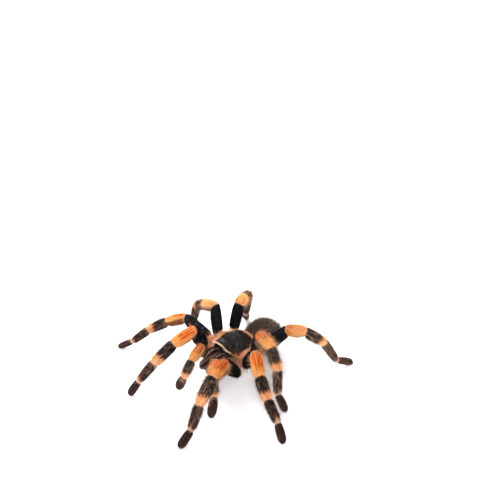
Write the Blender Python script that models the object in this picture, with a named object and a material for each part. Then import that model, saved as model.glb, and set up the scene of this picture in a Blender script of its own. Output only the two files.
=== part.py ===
"""Red knee tarantula, an adult female standing, as a still life-size model.

The spider faces -Y, its left side is +X and the floor is z = 0.  Sizes are in
millimetres and angles in degrees, and MM turns sizes into Blender's metres.
A place on the body is (forward, left, up) from the middle of the carapace's
rim.  Outlines reach the tips of the coat.
"""

import math
from collections import namedtuple

import bmesh
import bpy
from mathutils import Matrix, Vector

MM = 0.001
SEAM = 0.3              # clear space between two pieces that meet
SIDES = 10              # corners round a limb

# Driving dimensions of the body
CARAPACE_LENGTH = 20.0
CARAPACE_WIDTH = 18.4
CARAPACE_MIDDLE = -0.3  # forward place of the carapace's middle
RIM_HEIGHT = 14.4       # the carapace's rim above the floor
ROLL = 5.0              # the left side leans lower
PITCH = -2.0            # the head dips
FRONT_ARCH = 4.0        # how far the rim arches up over the jaws
DOME_HEIGHT = 2.7
SHIELD_EDGE = 0.5       # thickness of the shield's rim
STERNUM_LENGTH = 7.8
STERNUM_WIDTH = 6.2
ABDOMEN_LENGTH = 20.6
ABDOMEN_WIDTH = 17.0
ABDOMEN_DEPTH = 16.2
ABDOMEN_MIDDLE = (-18.4, 0.0, -5.8)
TUBERCLE = (6.5, 0.0, 4.9)          # middle of the little turret that carries the eyes
TUBERCLE_SIZE = (1.15, 1.45, 1.25)
SOCKET_ROOM = 0.05      # clear space round an eye
FLOOR_PRESS = 0.12      # how far a foot's pad is flattened on the floor
BEND_REACH = 1.7        # how far along a limb a bend turns the rings, in depths per radian
BEND_START = 0.4
FOLD_LOSS = 0.36        # how much thinner a limb is inside a bend, per radian

# Lengths of femur, patella, tibia, metatarsus and tarsus; a palp has no metatarsus
LENGTHS = {
    "leg_1": (16.3, 10.2, 11.9, 10.8, 8.4),
    "leg_2": (15.0, 9.4, 10.5, 10.6, 8.4),
    "leg_3": (13.5, 8.3, 9.2, 11.8, 8.5),
    "leg_4": (16.6, 8.6, 12.9, 16.6, 9.3),
    "palp": (12.4, 7.5, 8.4, 9.7),
}
THICKNESS = {"leg_1": 1.0, "leg_2": 0.98, "leg_3": 0.98, "leg_4": 0.98, "palp": 0.78}

# Where each coxa leaves the sternum and where it ends, on the left side
HIPS = {
    "leg_1": ((3.5, 3.3, -3.3), (7.2, 7.8, -3.5)),
    "leg_2": ((1.25, 4.1, -3.3), (2.6, 9.4, -3.5)),
    "leg_3": ((-1.25, 4.1, -3.3), (-2.4, 9.4, -3.5)),
    "leg_4": ((-3.6, 3.4, -3.3), (-6.9, 7.9, -3.5)),
    "palp": ((5.4, 2.0, -3.7), (10.2, 5.4, -3.9)),
}
TROCHANTER_LENGTH = {"leg_1": 3.4, "leg_2": 3.4, "leg_3": 3.4, "leg_4": 3.6, "palp": 2.6}

# The stance.  "heading" is the way the limb points, counted from straight ahead
# towards its own side; "lean" tips the limb's plane back; "hip" is the
# trochanter's heading and rise; "rises" are the rise of each later segment; and
# "swings" turn the patella, and then the tibia with all that follows, sideways.
Stance = namedtuple("Stance", "heading lean hip rises swings")
STANCE = {
    ("leg_1", "left"): Stance(24, -3, (68, -36), (49, 1, -38, -55, -24), (-6, -9)),
    ("leg_2", "left"): Stance(65, 2, (70, 24), (52, -48, -34, -22, -44), (0, 4)),
    ("leg_3", "left"): Stance(68, 4, (76, 25), (81, -13, -45, -81, -29), (15, -8)),
    ("leg_4", "left"): Stance(136, -15, (132, 27), (51, 13, -44, -63, -22), (-26, 38)),
    ("palp", "left"): Stance(22, -3, (28, -35), (57, -37, -83, -25), (15, -1)),
    ("leg_1", "right"): Stance(10, -20, (50, 28), (63, -29, -36, -51, -57), (6, -14)),
    ("leg_2", "right"): Stance(71, 18, (77, 23), (24, -17, -31, -43, -29), (-14, 2)),
    ("leg_3", "right"): Stance(95, 3, (79, 20), (79, -17, -29, -72, -66), (0, 8)),
    ("leg_4", "right"): Stance(158, 14, (144, 23), (99, -10, -26, -70, -51), (-6, 1)),
    ("palp", "right"): Stance(-6, -26, (35, 16), (61, -25, -64, -89), (-18, -10)),
}

# Half width and half depth of a limb at fractions of each segment's length
COXA = ((0.0, 1.0, 1.0), (0.35, 1.55, 1.7), (0.75, 1.95, 2.1), (1.0, 1.95, 2.0))
TROCHANTER = ((0.0, 1.95, 2.0), (0.5, 2.1, 2.15), (1.0, 2.1, 2.15))
FEMUR = (
    (0.0, 2.15, 2.2), (0.14, 2.5, 2.75), (0.35, 2.7, 3.0),
    (0.65, 2.75, 3.0), (0.86, 2.7, 2.85), (1.0, 2.45, 2.5),
)
PATELLA = (
    (0.0, 2.4, 2.45), (0.16, 2.75, 2.8), (0.4, 2.9, 2.9),
    (0.68, 2.85, 2.85), (0.88, 2.65, 2.65), (1.0, 2.3, 2.3),
)
TIBIA = (
    (0.0, 2.25, 2.25), (0.14, 2.5, 2.55), (0.4, 2.55, 2.65),
    (0.7, 2.45, 2.5), (0.9, 2.3, 2.3), (1.0, 1.95, 1.95),
)
METATARSUS = (
    (0.0, 1.9, 1.9), (0.14, 2.1, 2.1), (0.5, 2.05, 2.05),
    (0.86, 1.85, 1.8), (1.0, 1.6, 1.55),
)
TARSUS = (
    (0.0, 1.6, 1.55), (0.22, 1.85, 1.7), (0.55, 2.0, 1.75),
    (0.82, 1.8, 1.55), (0.96, 1.3, 1.15), (1.0, 0.75, 0.65),
)
PALP_TARSUS = (
    (0.0, 1.8, 1.8), (0.2, 2.4, 2.15), (0.52, 2.75, 2.35),
    (0.8, 2.45, 2.05), (0.95, 1.6, 1.35), (1.0, 0.95, 0.8),
)

BLACK = (0.012, 0.010, 0.009)
BROWN = (0.045, 0.032, 0.026)
ORANGE = (0.80, 0.27, 0.06)
HORN = (0.02, 0.012, 0.010)
FINISH = {
    "velvet black": (BLACK, 0.8),
    "banded brown": (BROWN, 0.75),
    "red orange": (ORANGE, 0.7),
    "horn": (HORN, 0.2),
}


def clear_scene():
    for thing in list(bpy.data.objects):
        bpy.data.objects.remove(thing)


def finish(name):
    """The Principled material called name, made the first time it is asked for."""
    if name in bpy.data.materials:
        return bpy.data.materials[name]
    colour, roughness = FINISH[name]
    material = bpy.data.materials.new(name)
    material.use_nodes = True
    shader = material.node_tree.nodes["Principled BSDF"]
    shader.inputs["Base Color"].default_value = (*colour, 1.0)
    shader.inputs["Roughness"].default_value = roughness
    shader.inputs["Metallic"].default_value = 0.0
    return material


def add_object(name, bm, material_name, collection):
    """Turn a bmesh in millimetres into the node called name."""
    bmesh.ops.recalc_face_normals(bm, faces=bm.faces)
    bmesh.ops.scale(bm, vec=(MM, MM, MM), verts=bm.verts)
    mesh = bpy.data.meshes.new(name)
    bm.to_mesh(mesh)
    bm.free()
    mesh.shade_smooth()
    mesh.materials.append(finish(material_name))
    thing = bpy.data.objects.new(name, mesh)
    collection.objects.link(thing)
    return thing


# ---- places and directions ----------------------------------------------

def body_matrix():
    """From (left, back, up) on the body to the standing spider."""
    lift = Matrix.Translation((0.0, 0.0, RIM_HEIGHT))
    roll = Matrix.Rotation(math.radians(ROLL), 4, "Y")
    dip = Matrix.Rotation(math.radians(-PITCH), 4, "X")
    return lift @ dip @ roll


def on_body(forward, left, up):
    return body_matrix() @ Vector((left, -forward, up))


def level_direction(heading, side):
    angle = math.radians(heading)
    return Vector((side * math.sin(angle), -math.cos(angle), 0.0))


def side_name(side):
    return "left" if side > 0 else "right"


def smooth_step(x):
    x = min(1.0, max(0.0, x))
    return x * x * (3.0 - 2.0 * x)


def bridge(bm, loops):
    """Walls between each loop of vertices and the next."""
    for before, after in zip(loops, loops[1:]):
        for here, following in zip(range(len(before)), [*range(1, len(before)), 0]):
            bm.faces.new((before[here], before[following], after[following], after[here]))


def fan(bm, tip, loop):
    """Triangles that close a loop to one tip."""
    for here, following in zip(loop, loop[1:] + loop[:1]):
        bm.faces.new((tip, here, following))


# ---- limbs --------------------------------------------------------------

def limb_frames(kind, side, rises):
    """Joints of a limb, and the sideways vector of each of its segments."""
    stance = STANCE[kind, side_name(side)]
    sternum_end, hip_end = HIPS[kind]
    inner = on_body(sternum_end[0], side * sternum_end[1], sternum_end[2])
    outer = on_body(hip_end[0], side * hip_end[1], hip_end[2])
    ahead = level_direction(stance.heading, side)
    back = Vector((-ahead.y, ahead.x, 0.0)) * side
    lean = math.radians(stance.lean)
    upward = Vector((0.0, 0.0, math.cos(lean))) + back * math.sin(lean)
    joints = [inner, outer]
    sideways = []
    level = (outer - inner).normalized()
    sideways.append(level.cross(Vector((0.0, 0.0, 1.0))).normalized())
    hip_heading, hip_rise = stance.hip
    angle = math.radians(hip_rise)
    level = level_direction(hip_heading, side)
    step = level * math.cos(angle) + Vector((0.0, 0.0, math.sin(angle)))
    joints.append(joints[-1] + step * TROCHANTER_LENGTH[kind])
    sideways.append(level.cross(upward).normalized())
    patella_swing, tibia_swing = stance.swings
    for number, (length, rise) in enumerate(zip(LENGTHS[kind], rises)):
        swing = (0.0, patella_swing)[number] if number < 2 else patella_swing + tibia_swing
        level = level_direction(stance.heading + swing, side)
        angle = math.radians(rise)
        step = (level * math.cos(angle) + upward * math.sin(angle)).normalized()
        joints.append(joints[-1] + step * length)
        sideways.append(level.cross(upward).normalized())
    return joints, sideways


def ring_at(centre, normal, sideways, half_width, outer_depth, inner_depth):
    across = (sideways - normal * sideways.dot(normal)).normalized()
    above = across.cross(normal)
    ring = []
    for corner in range(SIDES):
        turn = 2.0 * math.pi * (corner + 0.5) / SIDES
        depth = outer_depth if math.sin(turn) > 0.0 else inner_depth
        ring.append(centre + across * half_width * math.cos(turn) + above * depth * math.sin(turn))
    return ring


def limb_rings(joints, sideways, profiles, thickness):
    """Rings of every segment.

    A ring at a joint lies in the plane that halves the bend, and the rings next
    to it turn towards that plane, so the limb bends as one round body.
    """
    directions = [(b - a).normalized() for a, b in zip(joints, joints[1:])]
    halving = [directions[0]]
    halving += [(a + b).normalized() for a, b in zip(directions, directions[1:])]
    halving.append(directions[-1])
    segments = []
    for number, profile in enumerate(profiles):
        start, end = joints[number], joints[number + 1]
        length = (end - start).length
        along = directions[number]
        depth = max(point[2] for point in profile) * thickness
        bends = [along.angle(halving[number]), along.angle(halving[number + 1])]
        reaches = [min(0.5 * length, BEND_REACH * depth * bend + BEND_START) for bend in bends]
        rings = []
        for part, half_width, half_depth in profile:
            gone = part * length
            turns = [1.0 - smooth_step(gone / reaches[0])]
            turns.append(1.0 - smooth_step((length - gone) / reaches[1]))
            normal = along.copy()
            across = sideways[number].copy()
            for turn, place in zip(turns, (number, number + 1)):
                normal += (halving[place] - along) * turn
                if 0 < place < len(sideways):
                    between = (sideways[place - 1] + sideways[place]).normalized()
                    across += (between - sideways[number]) * turn
            normal.normalize()
            bend = max(turn * angle for turn, angle in zip(turns, bends))
            folded = 1.0 - FOLD_LOSS * bend
            upper, lower = (folded, 1.0) if number < 2 else (1.0, folded)
            centre = start + along * gone
            rings.append((centre, normal, across, half_width * thickness,
                          half_depth * thickness * upper, half_depth * thickness * lower))
        segments.append(rings)
    return segments


def draw_out(name, rings, material_name, collection, seam_start=False, seam_end=False):
    """One closed body through the rings, parted by half a seam where a neighbour meets it."""
    rings = [list(ring) for ring in rings]
    if seam_start:
        rings[0][0] = rings[0][0] + rings[0][1] * SEAM / 2
    if seam_end:
        rings[-1][0] = rings[-1][0] - rings[-1][1] * SEAM / 2
    bm = bmesh.new()
    loops = []
    for ring in rings:
        loops.append([bm.verts.new(point) for point in ring_at(*ring)])
    bridge(bm, loops)
    bm.faces.new(loops[0])
    bm.faces.new(loops[-1])
    if min(vertex.co.z for vertex in bm.verts) < 0.0:
        stand_on_floor(bm)
    return add_object(name, bm, material_name, collection)


def stand_on_floor(bm):
    """Cut what dips below the floor, which leaves a small flat pad."""
    everything = bm.verts[:] + bm.edges[:] + bm.faces[:]
    cut = bmesh.ops.bisect_plane(bm, geom=everything, plane_co=(0.0, 0.0, 0.0),
                                 plane_no=(0.0, 0.0, -1.0), clear_outer=True)
    edges = [part for part in cut["geom_cut"] if isinstance(part, bmesh.types.BMEdge)]
    bmesh.ops.contextual_create(bm, geom=edges)


def planted(kind, side, profiles):
    """Rings of a limb whose tibia is turned until the foot presses on the floor."""
    rises = list(STANCE[kind, side_name(side)].rises)
    for _ in range(6):
        joints, sideways = limb_frames(kind, side, rises)
        segments = limb_rings(joints, sideways, profiles, THICKNESS[kind])
        lowest = min(point.z for ring in segments[-1] for point in ring_at(*ring))
        if kind == "palp":
            break
        reach = (joints[5].xy - joints[4].xy).length
        rises[2] -= math.degrees((lowest + FLOOR_PRESS) / reach)
    return segments


def build_leg(number, side, collection):
    kind = f"leg_{number}"
    stem = f"{kind}_{side_name(side)}"
    profiles = (COXA, TROCHANTER, FEMUR, PATELLA, TIBIA, METATARSUS, TARSUS)
    coxa, trochanter, femur, patella, tibia, metatarsus, tarsus = planted(kind, side, profiles)
    draw_out(f"{stem}_femur", coxa + trochanter[1:] + femur[1:], "velvet black", collection, seam_end=True)
    draw_out(f"{stem}_patella", patella, "red orange", collection, seam_start=True, seam_end=True)
    draw_out(f"{stem}_tibia", tibia, "banded brown", collection, seam_start=True, seam_end=True)
    draw_out(f"{stem}_foot", metatarsus + tarsus[1:], "banded brown", collection, seam_start=True)


def build_palp(side, collection):
    stem = f"palp_{side_name(side)}"
    profiles = (COXA, TROCHANTER, FEMUR, PATELLA, TIBIA, PALP_TARSUS)
    coxa, trochanter, femur, patella, tibia, tarsus = planted("palp", side, profiles)
    draw_out(f"{stem}_femur", coxa + trochanter[1:] + femur[1:], "velvet black", collection, seam_end=True)
    draw_out(f"{stem}_patella", patella, "red orange", collection, seam_start=True, seam_end=True)
    draw_out(f"{stem}_shin", tibia + tarsus[1:], "banded brown", collection, seam_start=True)


# ---- body ---------------------------------------------------------------

def carapace_outline(turn):
    """Forward and left place of the rim at an angle from straight ahead."""
    squareness = 2.0 / 2.35
    ahead, across = math.cos(turn), math.sin(turn)
    forward = CARAPACE_LENGTH / 2 * math.copysign(abs(ahead) ** squareness, ahead)
    left = CARAPACE_WIDTH / 2 * math.copysign(abs(across) ** squareness, across)
    narrowing = 1.0 - 0.20 * smooth_step((forward + 3.0) / 12.0)
    return min(forward, 0.88 * CARAPACE_LENGTH / 2), left * narrowing


def rim_rise(forward, left):
    """How far the rim is over its middle height."""
    return FRONT_ARCH * smooth_step((forward - 1.0) / 7.5) * (1.0 - 0.5 * (left / 6.5) ** 2)


def carapace_height(forward, left, rim_part):
    """Height of the shield; rim_part runs from 0 in the middle to 1 at the rim."""
    dome = DOME_HEIGHT * (1.0 - rim_part ** 2.4)
    head = 0.75 * math.exp(-((forward - 5.2) / 3.6) ** 2 - (left / 3.6) ** 2)
    pit = -0.9 * math.exp(-((forward + 2.4) / 0.9) ** 2 - (left / 1.6) ** 2)
    return rim_rise(forward, left) + dome + head + pit


def build_carapace(collection):
    around, steps = 30, 8
    middle = -1.5
    bm = bmesh.new()

    def loop_at(part, height):
        loop = []
        for corner in range(around):
            forward, left = carapace_outline(2.0 * math.pi * corner / around)
            forward = middle + (forward - middle) * part
            left = left * part
            place = on_body(forward + CARAPACE_MIDDLE, left, height(forward, left, part))
            loop.append(bm.verts.new(place))
        return loop

    parts = [(step / steps) ** 0.85 for step in range(1, steps + 1)]
    loops = [loop_at(part, carapace_height) for part in parts]
    loops.append(loop_at(0.97, lambda forward, left, part: rim_rise(forward, left) - SHIELD_EDGE))
    loops.append(loop_at(0.5, lambda forward, left, part: -SHIELD_EDGE))
    top = on_body(middle + CARAPACE_MIDDLE, 0.0, carapace_height(middle, 0.0, 0.0))
    fan(bm, bm.verts.new(top), loops[0])
    bridge(bm, loops)
    bm.faces.new(loops[-1])
    return add_object("carapace", bm, "velvet black", collection)


EYES = {
    # forward, left and up from the middle of the tubercle, and radius
    "front_middle": ((0.62, 0.52, 0.72), 0.36),
    "front_side": ((0.88, 1.15, 0.15), 0.34),
    "back_middle": ((-0.42, 0.72, 0.82), 0.24),
    "back_side": ((-0.35, 1.22, 0.40), 0.28),
}


def sphere(name, centre, radii, segments, rings, material_name, collection):
    """An ellipsoid whose radii run forward, left and up on the body."""
    bm = bmesh.new()
    bmesh.ops.create_uvsphere(bm, u_segments=segments, v_segments=rings, radius=1.0)
    for vertex in bm.verts:
        left, back, up = vertex.co
        place = (centre[0] - back * radii[0], centre[1] + left * radii[1], centre[2] + up * radii[2])
        vertex.co = on_body(*place)
    return add_object(name, bm, material_name, collection)


def combine(thing, other, operation):
    """Join other to thing, or cut it out, and remove other."""
    modifier = thing.modifiers.new(operation.title(), "BOOLEAN")
    modifier.object = other
    modifier.operation = operation
    modifier.solver = "EXACT"
    bpy.context.view_layer.update()
    evaluated = thing.evaluated_get(bpy.context.evaluated_depsgraph_get())
    mesh = bpy.data.meshes.new_from_object(evaluated)
    thing.modifiers.clear()
    thing.data = mesh
    bpy.data.objects.remove(other)


def build_eyes(carapace, collection):
    """Eight eyes in sockets on the tubercle."""
    tubercle = sphere("tubercle", TUBERCLE, TUBERCLE_SIZE, 14, 8, "velvet black", collection)
    combine(carapace, tubercle, "UNION")
    for place, (offset, radius) in EYES.items():
        for side in (1, -1):
            centre = (TUBERCLE[0] + offset[0], side * offset[1], TUBERCLE[2] + offset[2])
            wide = radius + SOCKET_ROOM
            socket = sphere("socket", centre, (wide, wide, wide), 8, 5, "velvet black", collection)
            combine(carapace, socket, "DIFFERENCE")
            ball = (radius, radius, radius)
            sphere(f"eye_{place}_{side_name(side)}", centre, ball, 8, 5, "horn", collection)


def build_sternum(collection):
    """The plate between the hips, as thick as the space they leave."""
    bm = bmesh.new()
    loops = []
    around = 16
    for up, part in ((-5.4, 0.55), (-5.1, 0.9), (-4.3, 1.0), (-2.2, 1.0), (-1.0, 0.92)):
        loop = []
        for corner in range(around):
            turn = 2.0 * math.pi * corner / around
            forward = STERNUM_LENGTH / 2 * part * math.cos(turn)
            left = STERNUM_WIDTH / 2 * part * math.sin(turn)
            loop.append(bm.verts.new(on_body(forward, left, up)))
        loops.append(loop)
    bridge(bm, loops)
    bm.faces.new(loops[0])
    bm.faces.new(loops[-1])
    return add_object("sternum", bm, "velvet black", collection)


def tapered(name, stations, material_name, collection):
    """A closed body round a bent line: (forward, left, up, half width, half height) at each station."""
    places = [on_body(*station[:3]) for station in stations]
    sideways = on_body(0.0, 1.0, 0.0) - on_body(0.0, 0.0, 0.0)
    bm = bmesh.new()
    loops = []
    for number, station in enumerate(stations):
        before = places[max(0, number - 1)]
        after = places[min(len(places) - 1, number + 1)]
        normal = (after - before).normalized()
        across = (sideways - normal * sideways.dot(normal)).normalized()
        above = across.cross(normal)
        loop = []
        for corner in range(SIDES):
            turn = 2.0 * math.pi * corner / SIDES
            offset = across * station[3] * math.cos(turn) + above * station[4] * math.sin(turn)
            loop.append(bm.verts.new(places[number] + offset))
        loops.append(loop)
    bridge(bm, loops)
    bm.faces.new(loops[0])
    bm.faces.new(loops[-1])
    return add_object(name, bm, material_name, collection)


def build_jaws(collection):
    """Chelicerae, whose rounded backs slope down in front, with a fang folded under each.

    The femur of the right palp lies against the right one and presses its side in.
    """
    base = ((8.9, 2.05, 0.0, 1.5, 1.5), (9.8, 2.25, 0.4, 1.95, 2.2))
    front = ((16.4, 2.25, -3.6, 1.95, 2.4), (17.0, 2.2, -5.0, 1.5, 1.6), (17.1, 2.1, -5.8, 0.8, 0.75))
    middles = {
        1: ((11.4, 2.4, 0.5, 2.2, 2.9), (13.2, 2.4, -0.7, 2.2, 3.0), (15.0, 2.35, -2.2, 2.15, 2.9)),
        -1: ((11.4, 2.1, 0.5, 1.9, 2.9), (13.2, 1.64, -0.8, 1.36, 2.8), (15.0, 1.78, -2.3, 1.46, 2.65)),
    }
    fang = (
        (15.7, 2.1, -6.75, 0.55, 0.5),
        (14.8, 2.1, -7.1, 0.55, 0.5),
        (13.6, 2.05, -7.2, 0.45, 0.42),
        (12.4, 1.9, -7.0, 0.33, 0.3),
        (11.4, 1.75, -6.5, 0.25, 0.25),
    )
    for side, middle in middles.items():
        chelicera = base + middle + front
        for stem, stations, material in (("chelicera", chelicera, "velvet black"), ("fang", fang, "horn")):
            placed = [(forward, side * left, *rest) for forward, left, *rest in stations]
            tapered(f"{stem}_{side_name(side)}", placed, material, collection)


def build_abdomen(collection):
    """The abdomen, fuller behind its middle, with the waist and two spinnerets."""
    around, steps = 18, 12
    bm = bmesh.new()
    loops = []
    for step in range(1, steps):
        turn = math.pi * step / steps
        along = math.cos(turn)
        fullness = math.sin(turn) ** 0.92 * (1.0 - 0.10 * along)
        loop = []
        for corner in range(around):
            angle = 2.0 * math.pi * corner / around
            forward = ABDOMEN_MIDDLE[0] + along * ABDOMEN_LENGTH / 2
            left = ABDOMEN_WIDTH / 2 * fullness * math.cos(angle)
            up = ABDOMEN_MIDDLE[2] + ABDOMEN_DEPTH / 2 * fullness * math.sin(angle)
            loop.append(bm.verts.new(on_body(forward, left, up)))
        loops.append(loop)
    bridge(bm, loops)
    for loop, end in ((loops[0], 1), (loops[-1], -1)):
        forward = ABDOMEN_MIDDLE[0] + end * ABDOMEN_LENGTH / 2
        fan(bm, bm.verts.new(on_body(forward, 0.0, ABDOMEN_MIDDLE[2])), loop)
    add_object("abdomen", bm, "velvet black", collection)
    waist = ((-4.6, 0.0, -2.6, 1.1, 1.1), (-6.3, 0.0, -2.9, 1.2, 1.2), (-8.2, 0.0, -3.6, 1.2, 1.2))
    tapered("pedicel", waist, "velvet black", collection)
    for side in (1, -1):
        spinneret = (
            (-28.4, side * 1.4, -8.6, 0.75, 0.75),
            (-29.9, side * 1.8, -8.6, 0.7, 0.7),
            (-31.4, side * 2.2, -8.2, 0.55, 0.55),
            (-32.8, side * 2.5, -7.6, 0.4, 0.4),
        )
        tapered(f"spinneret_{side_name(side)}", spinneret, "banded brown", collection)


def set_origin(collection):
    """Put the origin on the floor under the middle of the whole spider."""
    corners = [vertex.co for thing in collection.objects for vertex in thing.data.vertices]
    middle_x = (min(corner.x for corner in corners) + max(corner.x for corner in corners)) / 2
    middle_y = (min(corner.y for corner in corners) + max(corner.y for corner in corners)) / 2
    for thing in collection.objects:
        thing.data.transform(Matrix.Translation((-middle_x, -middle_y, 0.0)))


def main():
    clear_scene()
    collection = bpy.data.collections.new("red_knee_tarantula")
    bpy.context.scene.collection.children.link(collection)
    carapace = build_carapace(collection)
    build_eyes(carapace, collection)
    build_sternum(collection)
    build_jaws(collection)
    build_abdomen(collection)
    for side in (1, -1):
        build_palp(side, collection)
        for number in (1, 2, 3, 4):
            build_leg(number, side, collection)
    set_origin(collection)


main()
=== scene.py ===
"""Red knee tarantula: skin, shield, eyes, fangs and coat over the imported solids.

Lengths inside the functions are millimetres until a mesh is made. The spider
faces -Y, its left side is +X and the floor is z = 0.
"""

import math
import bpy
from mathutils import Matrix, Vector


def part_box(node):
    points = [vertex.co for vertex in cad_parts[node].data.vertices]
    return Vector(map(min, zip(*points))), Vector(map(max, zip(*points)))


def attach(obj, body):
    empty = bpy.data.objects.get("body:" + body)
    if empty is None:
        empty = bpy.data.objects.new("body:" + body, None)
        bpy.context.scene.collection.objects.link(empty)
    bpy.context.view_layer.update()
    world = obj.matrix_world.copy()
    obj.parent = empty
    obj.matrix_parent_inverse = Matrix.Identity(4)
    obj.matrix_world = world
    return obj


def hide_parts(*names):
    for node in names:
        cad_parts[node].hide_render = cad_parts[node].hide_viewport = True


bl_info = {
    "name": "Red Knee Tarantula",
    "version": (1, 0, 0),
    "blender": (4, 5, 0),
    "location": "3D View > Sidebar > Tarantula",
    "description": "Grows the skin, the shield and the coat of a standing tarantula",
    "category": "Add Mesh",
}

import bmesh
import bpy
import numpy as np
from mathutils import Matrix, Vector, kdtree

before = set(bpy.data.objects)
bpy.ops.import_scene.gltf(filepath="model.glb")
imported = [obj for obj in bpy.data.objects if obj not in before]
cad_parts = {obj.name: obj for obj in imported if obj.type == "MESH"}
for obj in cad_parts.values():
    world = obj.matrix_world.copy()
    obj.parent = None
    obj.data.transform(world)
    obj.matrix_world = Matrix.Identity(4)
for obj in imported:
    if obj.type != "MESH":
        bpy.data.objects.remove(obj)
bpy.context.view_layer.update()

MM = 0.001
FULL_TURN = 2.0 * math.pi
FLOOR_GAP = 0.02        # nothing comes nearer to the floor than this

SIDES = ("left", "right")
LEGS = [f"leg_{number}_{side}" for side in SIDES for number in (1, 2, 3, 4)]
PALPS = [f"palp_{side}" for side in SIDES]
LIMBS = LEGS + PALPS
JAWS = [f"chelicera_{side}" for side in SIDES]
UNDERSIDE = ["sternum", "pedicel", "spinneret_left", "spinneret_right", "flank"]
REGIONS = LIMBS + ["abdomen"] + JAWS + UNDERSIDE

# Kinds of flesh, which have their own markings
LIMB_ZONE, ABDOMEN_ZONE, JAW_ZONE, UNDER_ZONE = 0.0, 1.0, 2.0, 3.0

# Solids of the body, how far each is drawn in to make room for hair, and its zone
FLESH = (
    ("abdomen", 0.75, ABDOMEN_ZONE),
    ("chelicera_left", 0.3, JAW_ZONE),
    ("chelicera_right", 0.3, JAW_ZONE),
    ("sternum", 0.1, UNDER_ZONE),
    ("pedicel", 0.1, UNDER_ZONE),
    ("spinneret_left", 0.1, ABDOMEN_ZONE),
    ("spinneret_right", 0.1, ABDOMEN_ZONE),
)

# Rings of a limb's solids. Each row of parts is a segment: its rings, and where it
# begins and ends along the limb. A place along a limb is counted from 0 at the sternum
# by one for each segment: hip, ring, femur, patella, tibia, metatarsus and tarsus.
SIDES_ROUND = 10        # corners round a ring of a limb or of a fang
LEG_PARTS = ((4, 0, 1), (2, 1, 2), (5, 2, 3), (6, 3, 4), (6, 4, 5), (5, 5, 6), (5, 6, 7))
PALP_PARTS = ((4, 0, 1), (2, 1, 2), (5, 2, 3), (6, 3, 4), (6, 4, 5), (5, 6, 7))
GOES_ON = (1, 2, 6)     # segments that begin inside the solid of the one before
THIGH_RING, KNEE_RING = 5, 13               # two rings that tell which way a limb bends
WHOLE_FOOT_RINGS = 8    # rings of a foot that the floor doesn't cut
SEAM_REACH = 0.6        # how near to its neighbour the first ring of a solid lies
LEAST_RING_GAP = 0.45
PATELLA, TIBIA, METATARSUS, TARSUS = 3.0, 4.0, 5.0, 6.0

# The flesh of a limb: how long the pinch at a joint is, and how thin it may get
PINCH_LENGTH = 0.55
LEAST_RADIUS = 0.12

# Depth of the coat, length of its hairs and how thickly the long bristles stand, each
# as rows of a place along the limb and the value there
COAT_DEPTH = ((0.0, 0.30), (2.0, 0.34), (4.0, 0.36), (5.0, 0.36), (6.0, 0.30), (7.0, 0.22))
HAIR_LENGTH = ((0.0, 1.5), (1.5, 1.5), (1.8, 1.2), (2.3, 0.8), (3.0, 0.8), (3.2, 0.9),
               (4.2, 1.0), (5.0, 1.15), (5.9, 1.0), (6.2, 0.62), (7.0, 0.55))
SHAGGY = ((0.0, 1.0), (1.9, 1.0), (2.1, 0.08), (2.9, 0.08), (3.05, 1.0), (5.0, 0.9),
          (5.2, 0.6), (5.9, 0.6), (6.05, 0.08), (7.0, 0.08))
ZONE_HAIR = ((ABDOMEN_ZONE, 1.9), (JAW_ZONE, 1.05), (UNDER_ZONE, 0.8))     # all over the zone

# What tells one limb from another: how faded it is, how far the pale tufts of its hip
# go on to the thigh, and how shaggy it is
FADED = {"leg_3_right": 1.0, "leg_4_right": 0.8, "leg_4_left": 0.9, "leg_3_left": 0.55,
         "palp_right": 0.3, "palp_left": 0.3}
HIP_TUFTS = {"leg_1_right": 0.26, "leg_2_right": 0.24, "leg_1_left": 0.10}
SHAGGIEST = {"leg_1_left": 1.9, "leg_3_left": 1.9, "leg_2_left": 1.5, "palp_left": 1.7,
             "palp_right": 1.3}

# The body: its tilt about X and Y, and forward and up of the middle of its front eyes
TILT = Matrix.Rotation(math.radians(2.0), 4, "X") @ Matrix.Rotation(math.radians(5.0), 4, "Y")
TURRET_FORWARD = 6.5
EYE_PAIR = (TURRET_FORWARD + 0.62, 4.9 + 0.72)
JAW_BROW = 0.405        # how fast the markings of a jaw rise to the front

# The shield
RIM_SQUARENESS = 2.35
RIM_HALF_LENGTH, RIM_HALF_WIDTH = 10.0, 9.2
RIM_FRONT = 8.8         # the rim runs straight across in front of the eyes
FRONT_ARCH = 4.7
DOME_HEIGHT, DOME_POWER = 2.7, 2.4
TURRET_HEIGHT, TURRET_LENGTH, TURRET_WIDTH = 0.80, 1.25, 1.55
SHIELD_CORNERS, SHIELD_RINGS = 216, 72
SHIELD_CROWN = -1.5     # forward of the place where its rings begin
SHIELD_SET_BACK = 0.3
SHIELD_SUNK = 0.16      # room for its hair
PIT_FORWARD, PIT_DEPTH, PIT_LENGTH, PIT_WIDTH = -2.4, 0.75, 0.55, 1.7
FURROW_START, FURROW_WIDTH = -2.0, 0.55
FURROWS = ((34.0, 0.34), (68.0, 0.24), (98.0, 0.22), (132.0, 0.22), (160.0, 0.14))  # degrees, depth
SHIELD_LIP = ((-0.22, 1.0), (-0.48, 0.985), (-0.55, 0.9))       # height, share of the rim

# The flank, which fills the space between the shield and the hips; its levels are rows
# of a height and a share of the rim
FLANK_CORNERS = 48
FLANK_JUT, FLANK_SET_BACK = 1.5, 0.9
FLANK_LEVELS = ((-0.75, 0.80), (-1.2, 0.86), (-2.2, 0.82), (-3.4, 0.74), (-4.6, 0.55))

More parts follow.
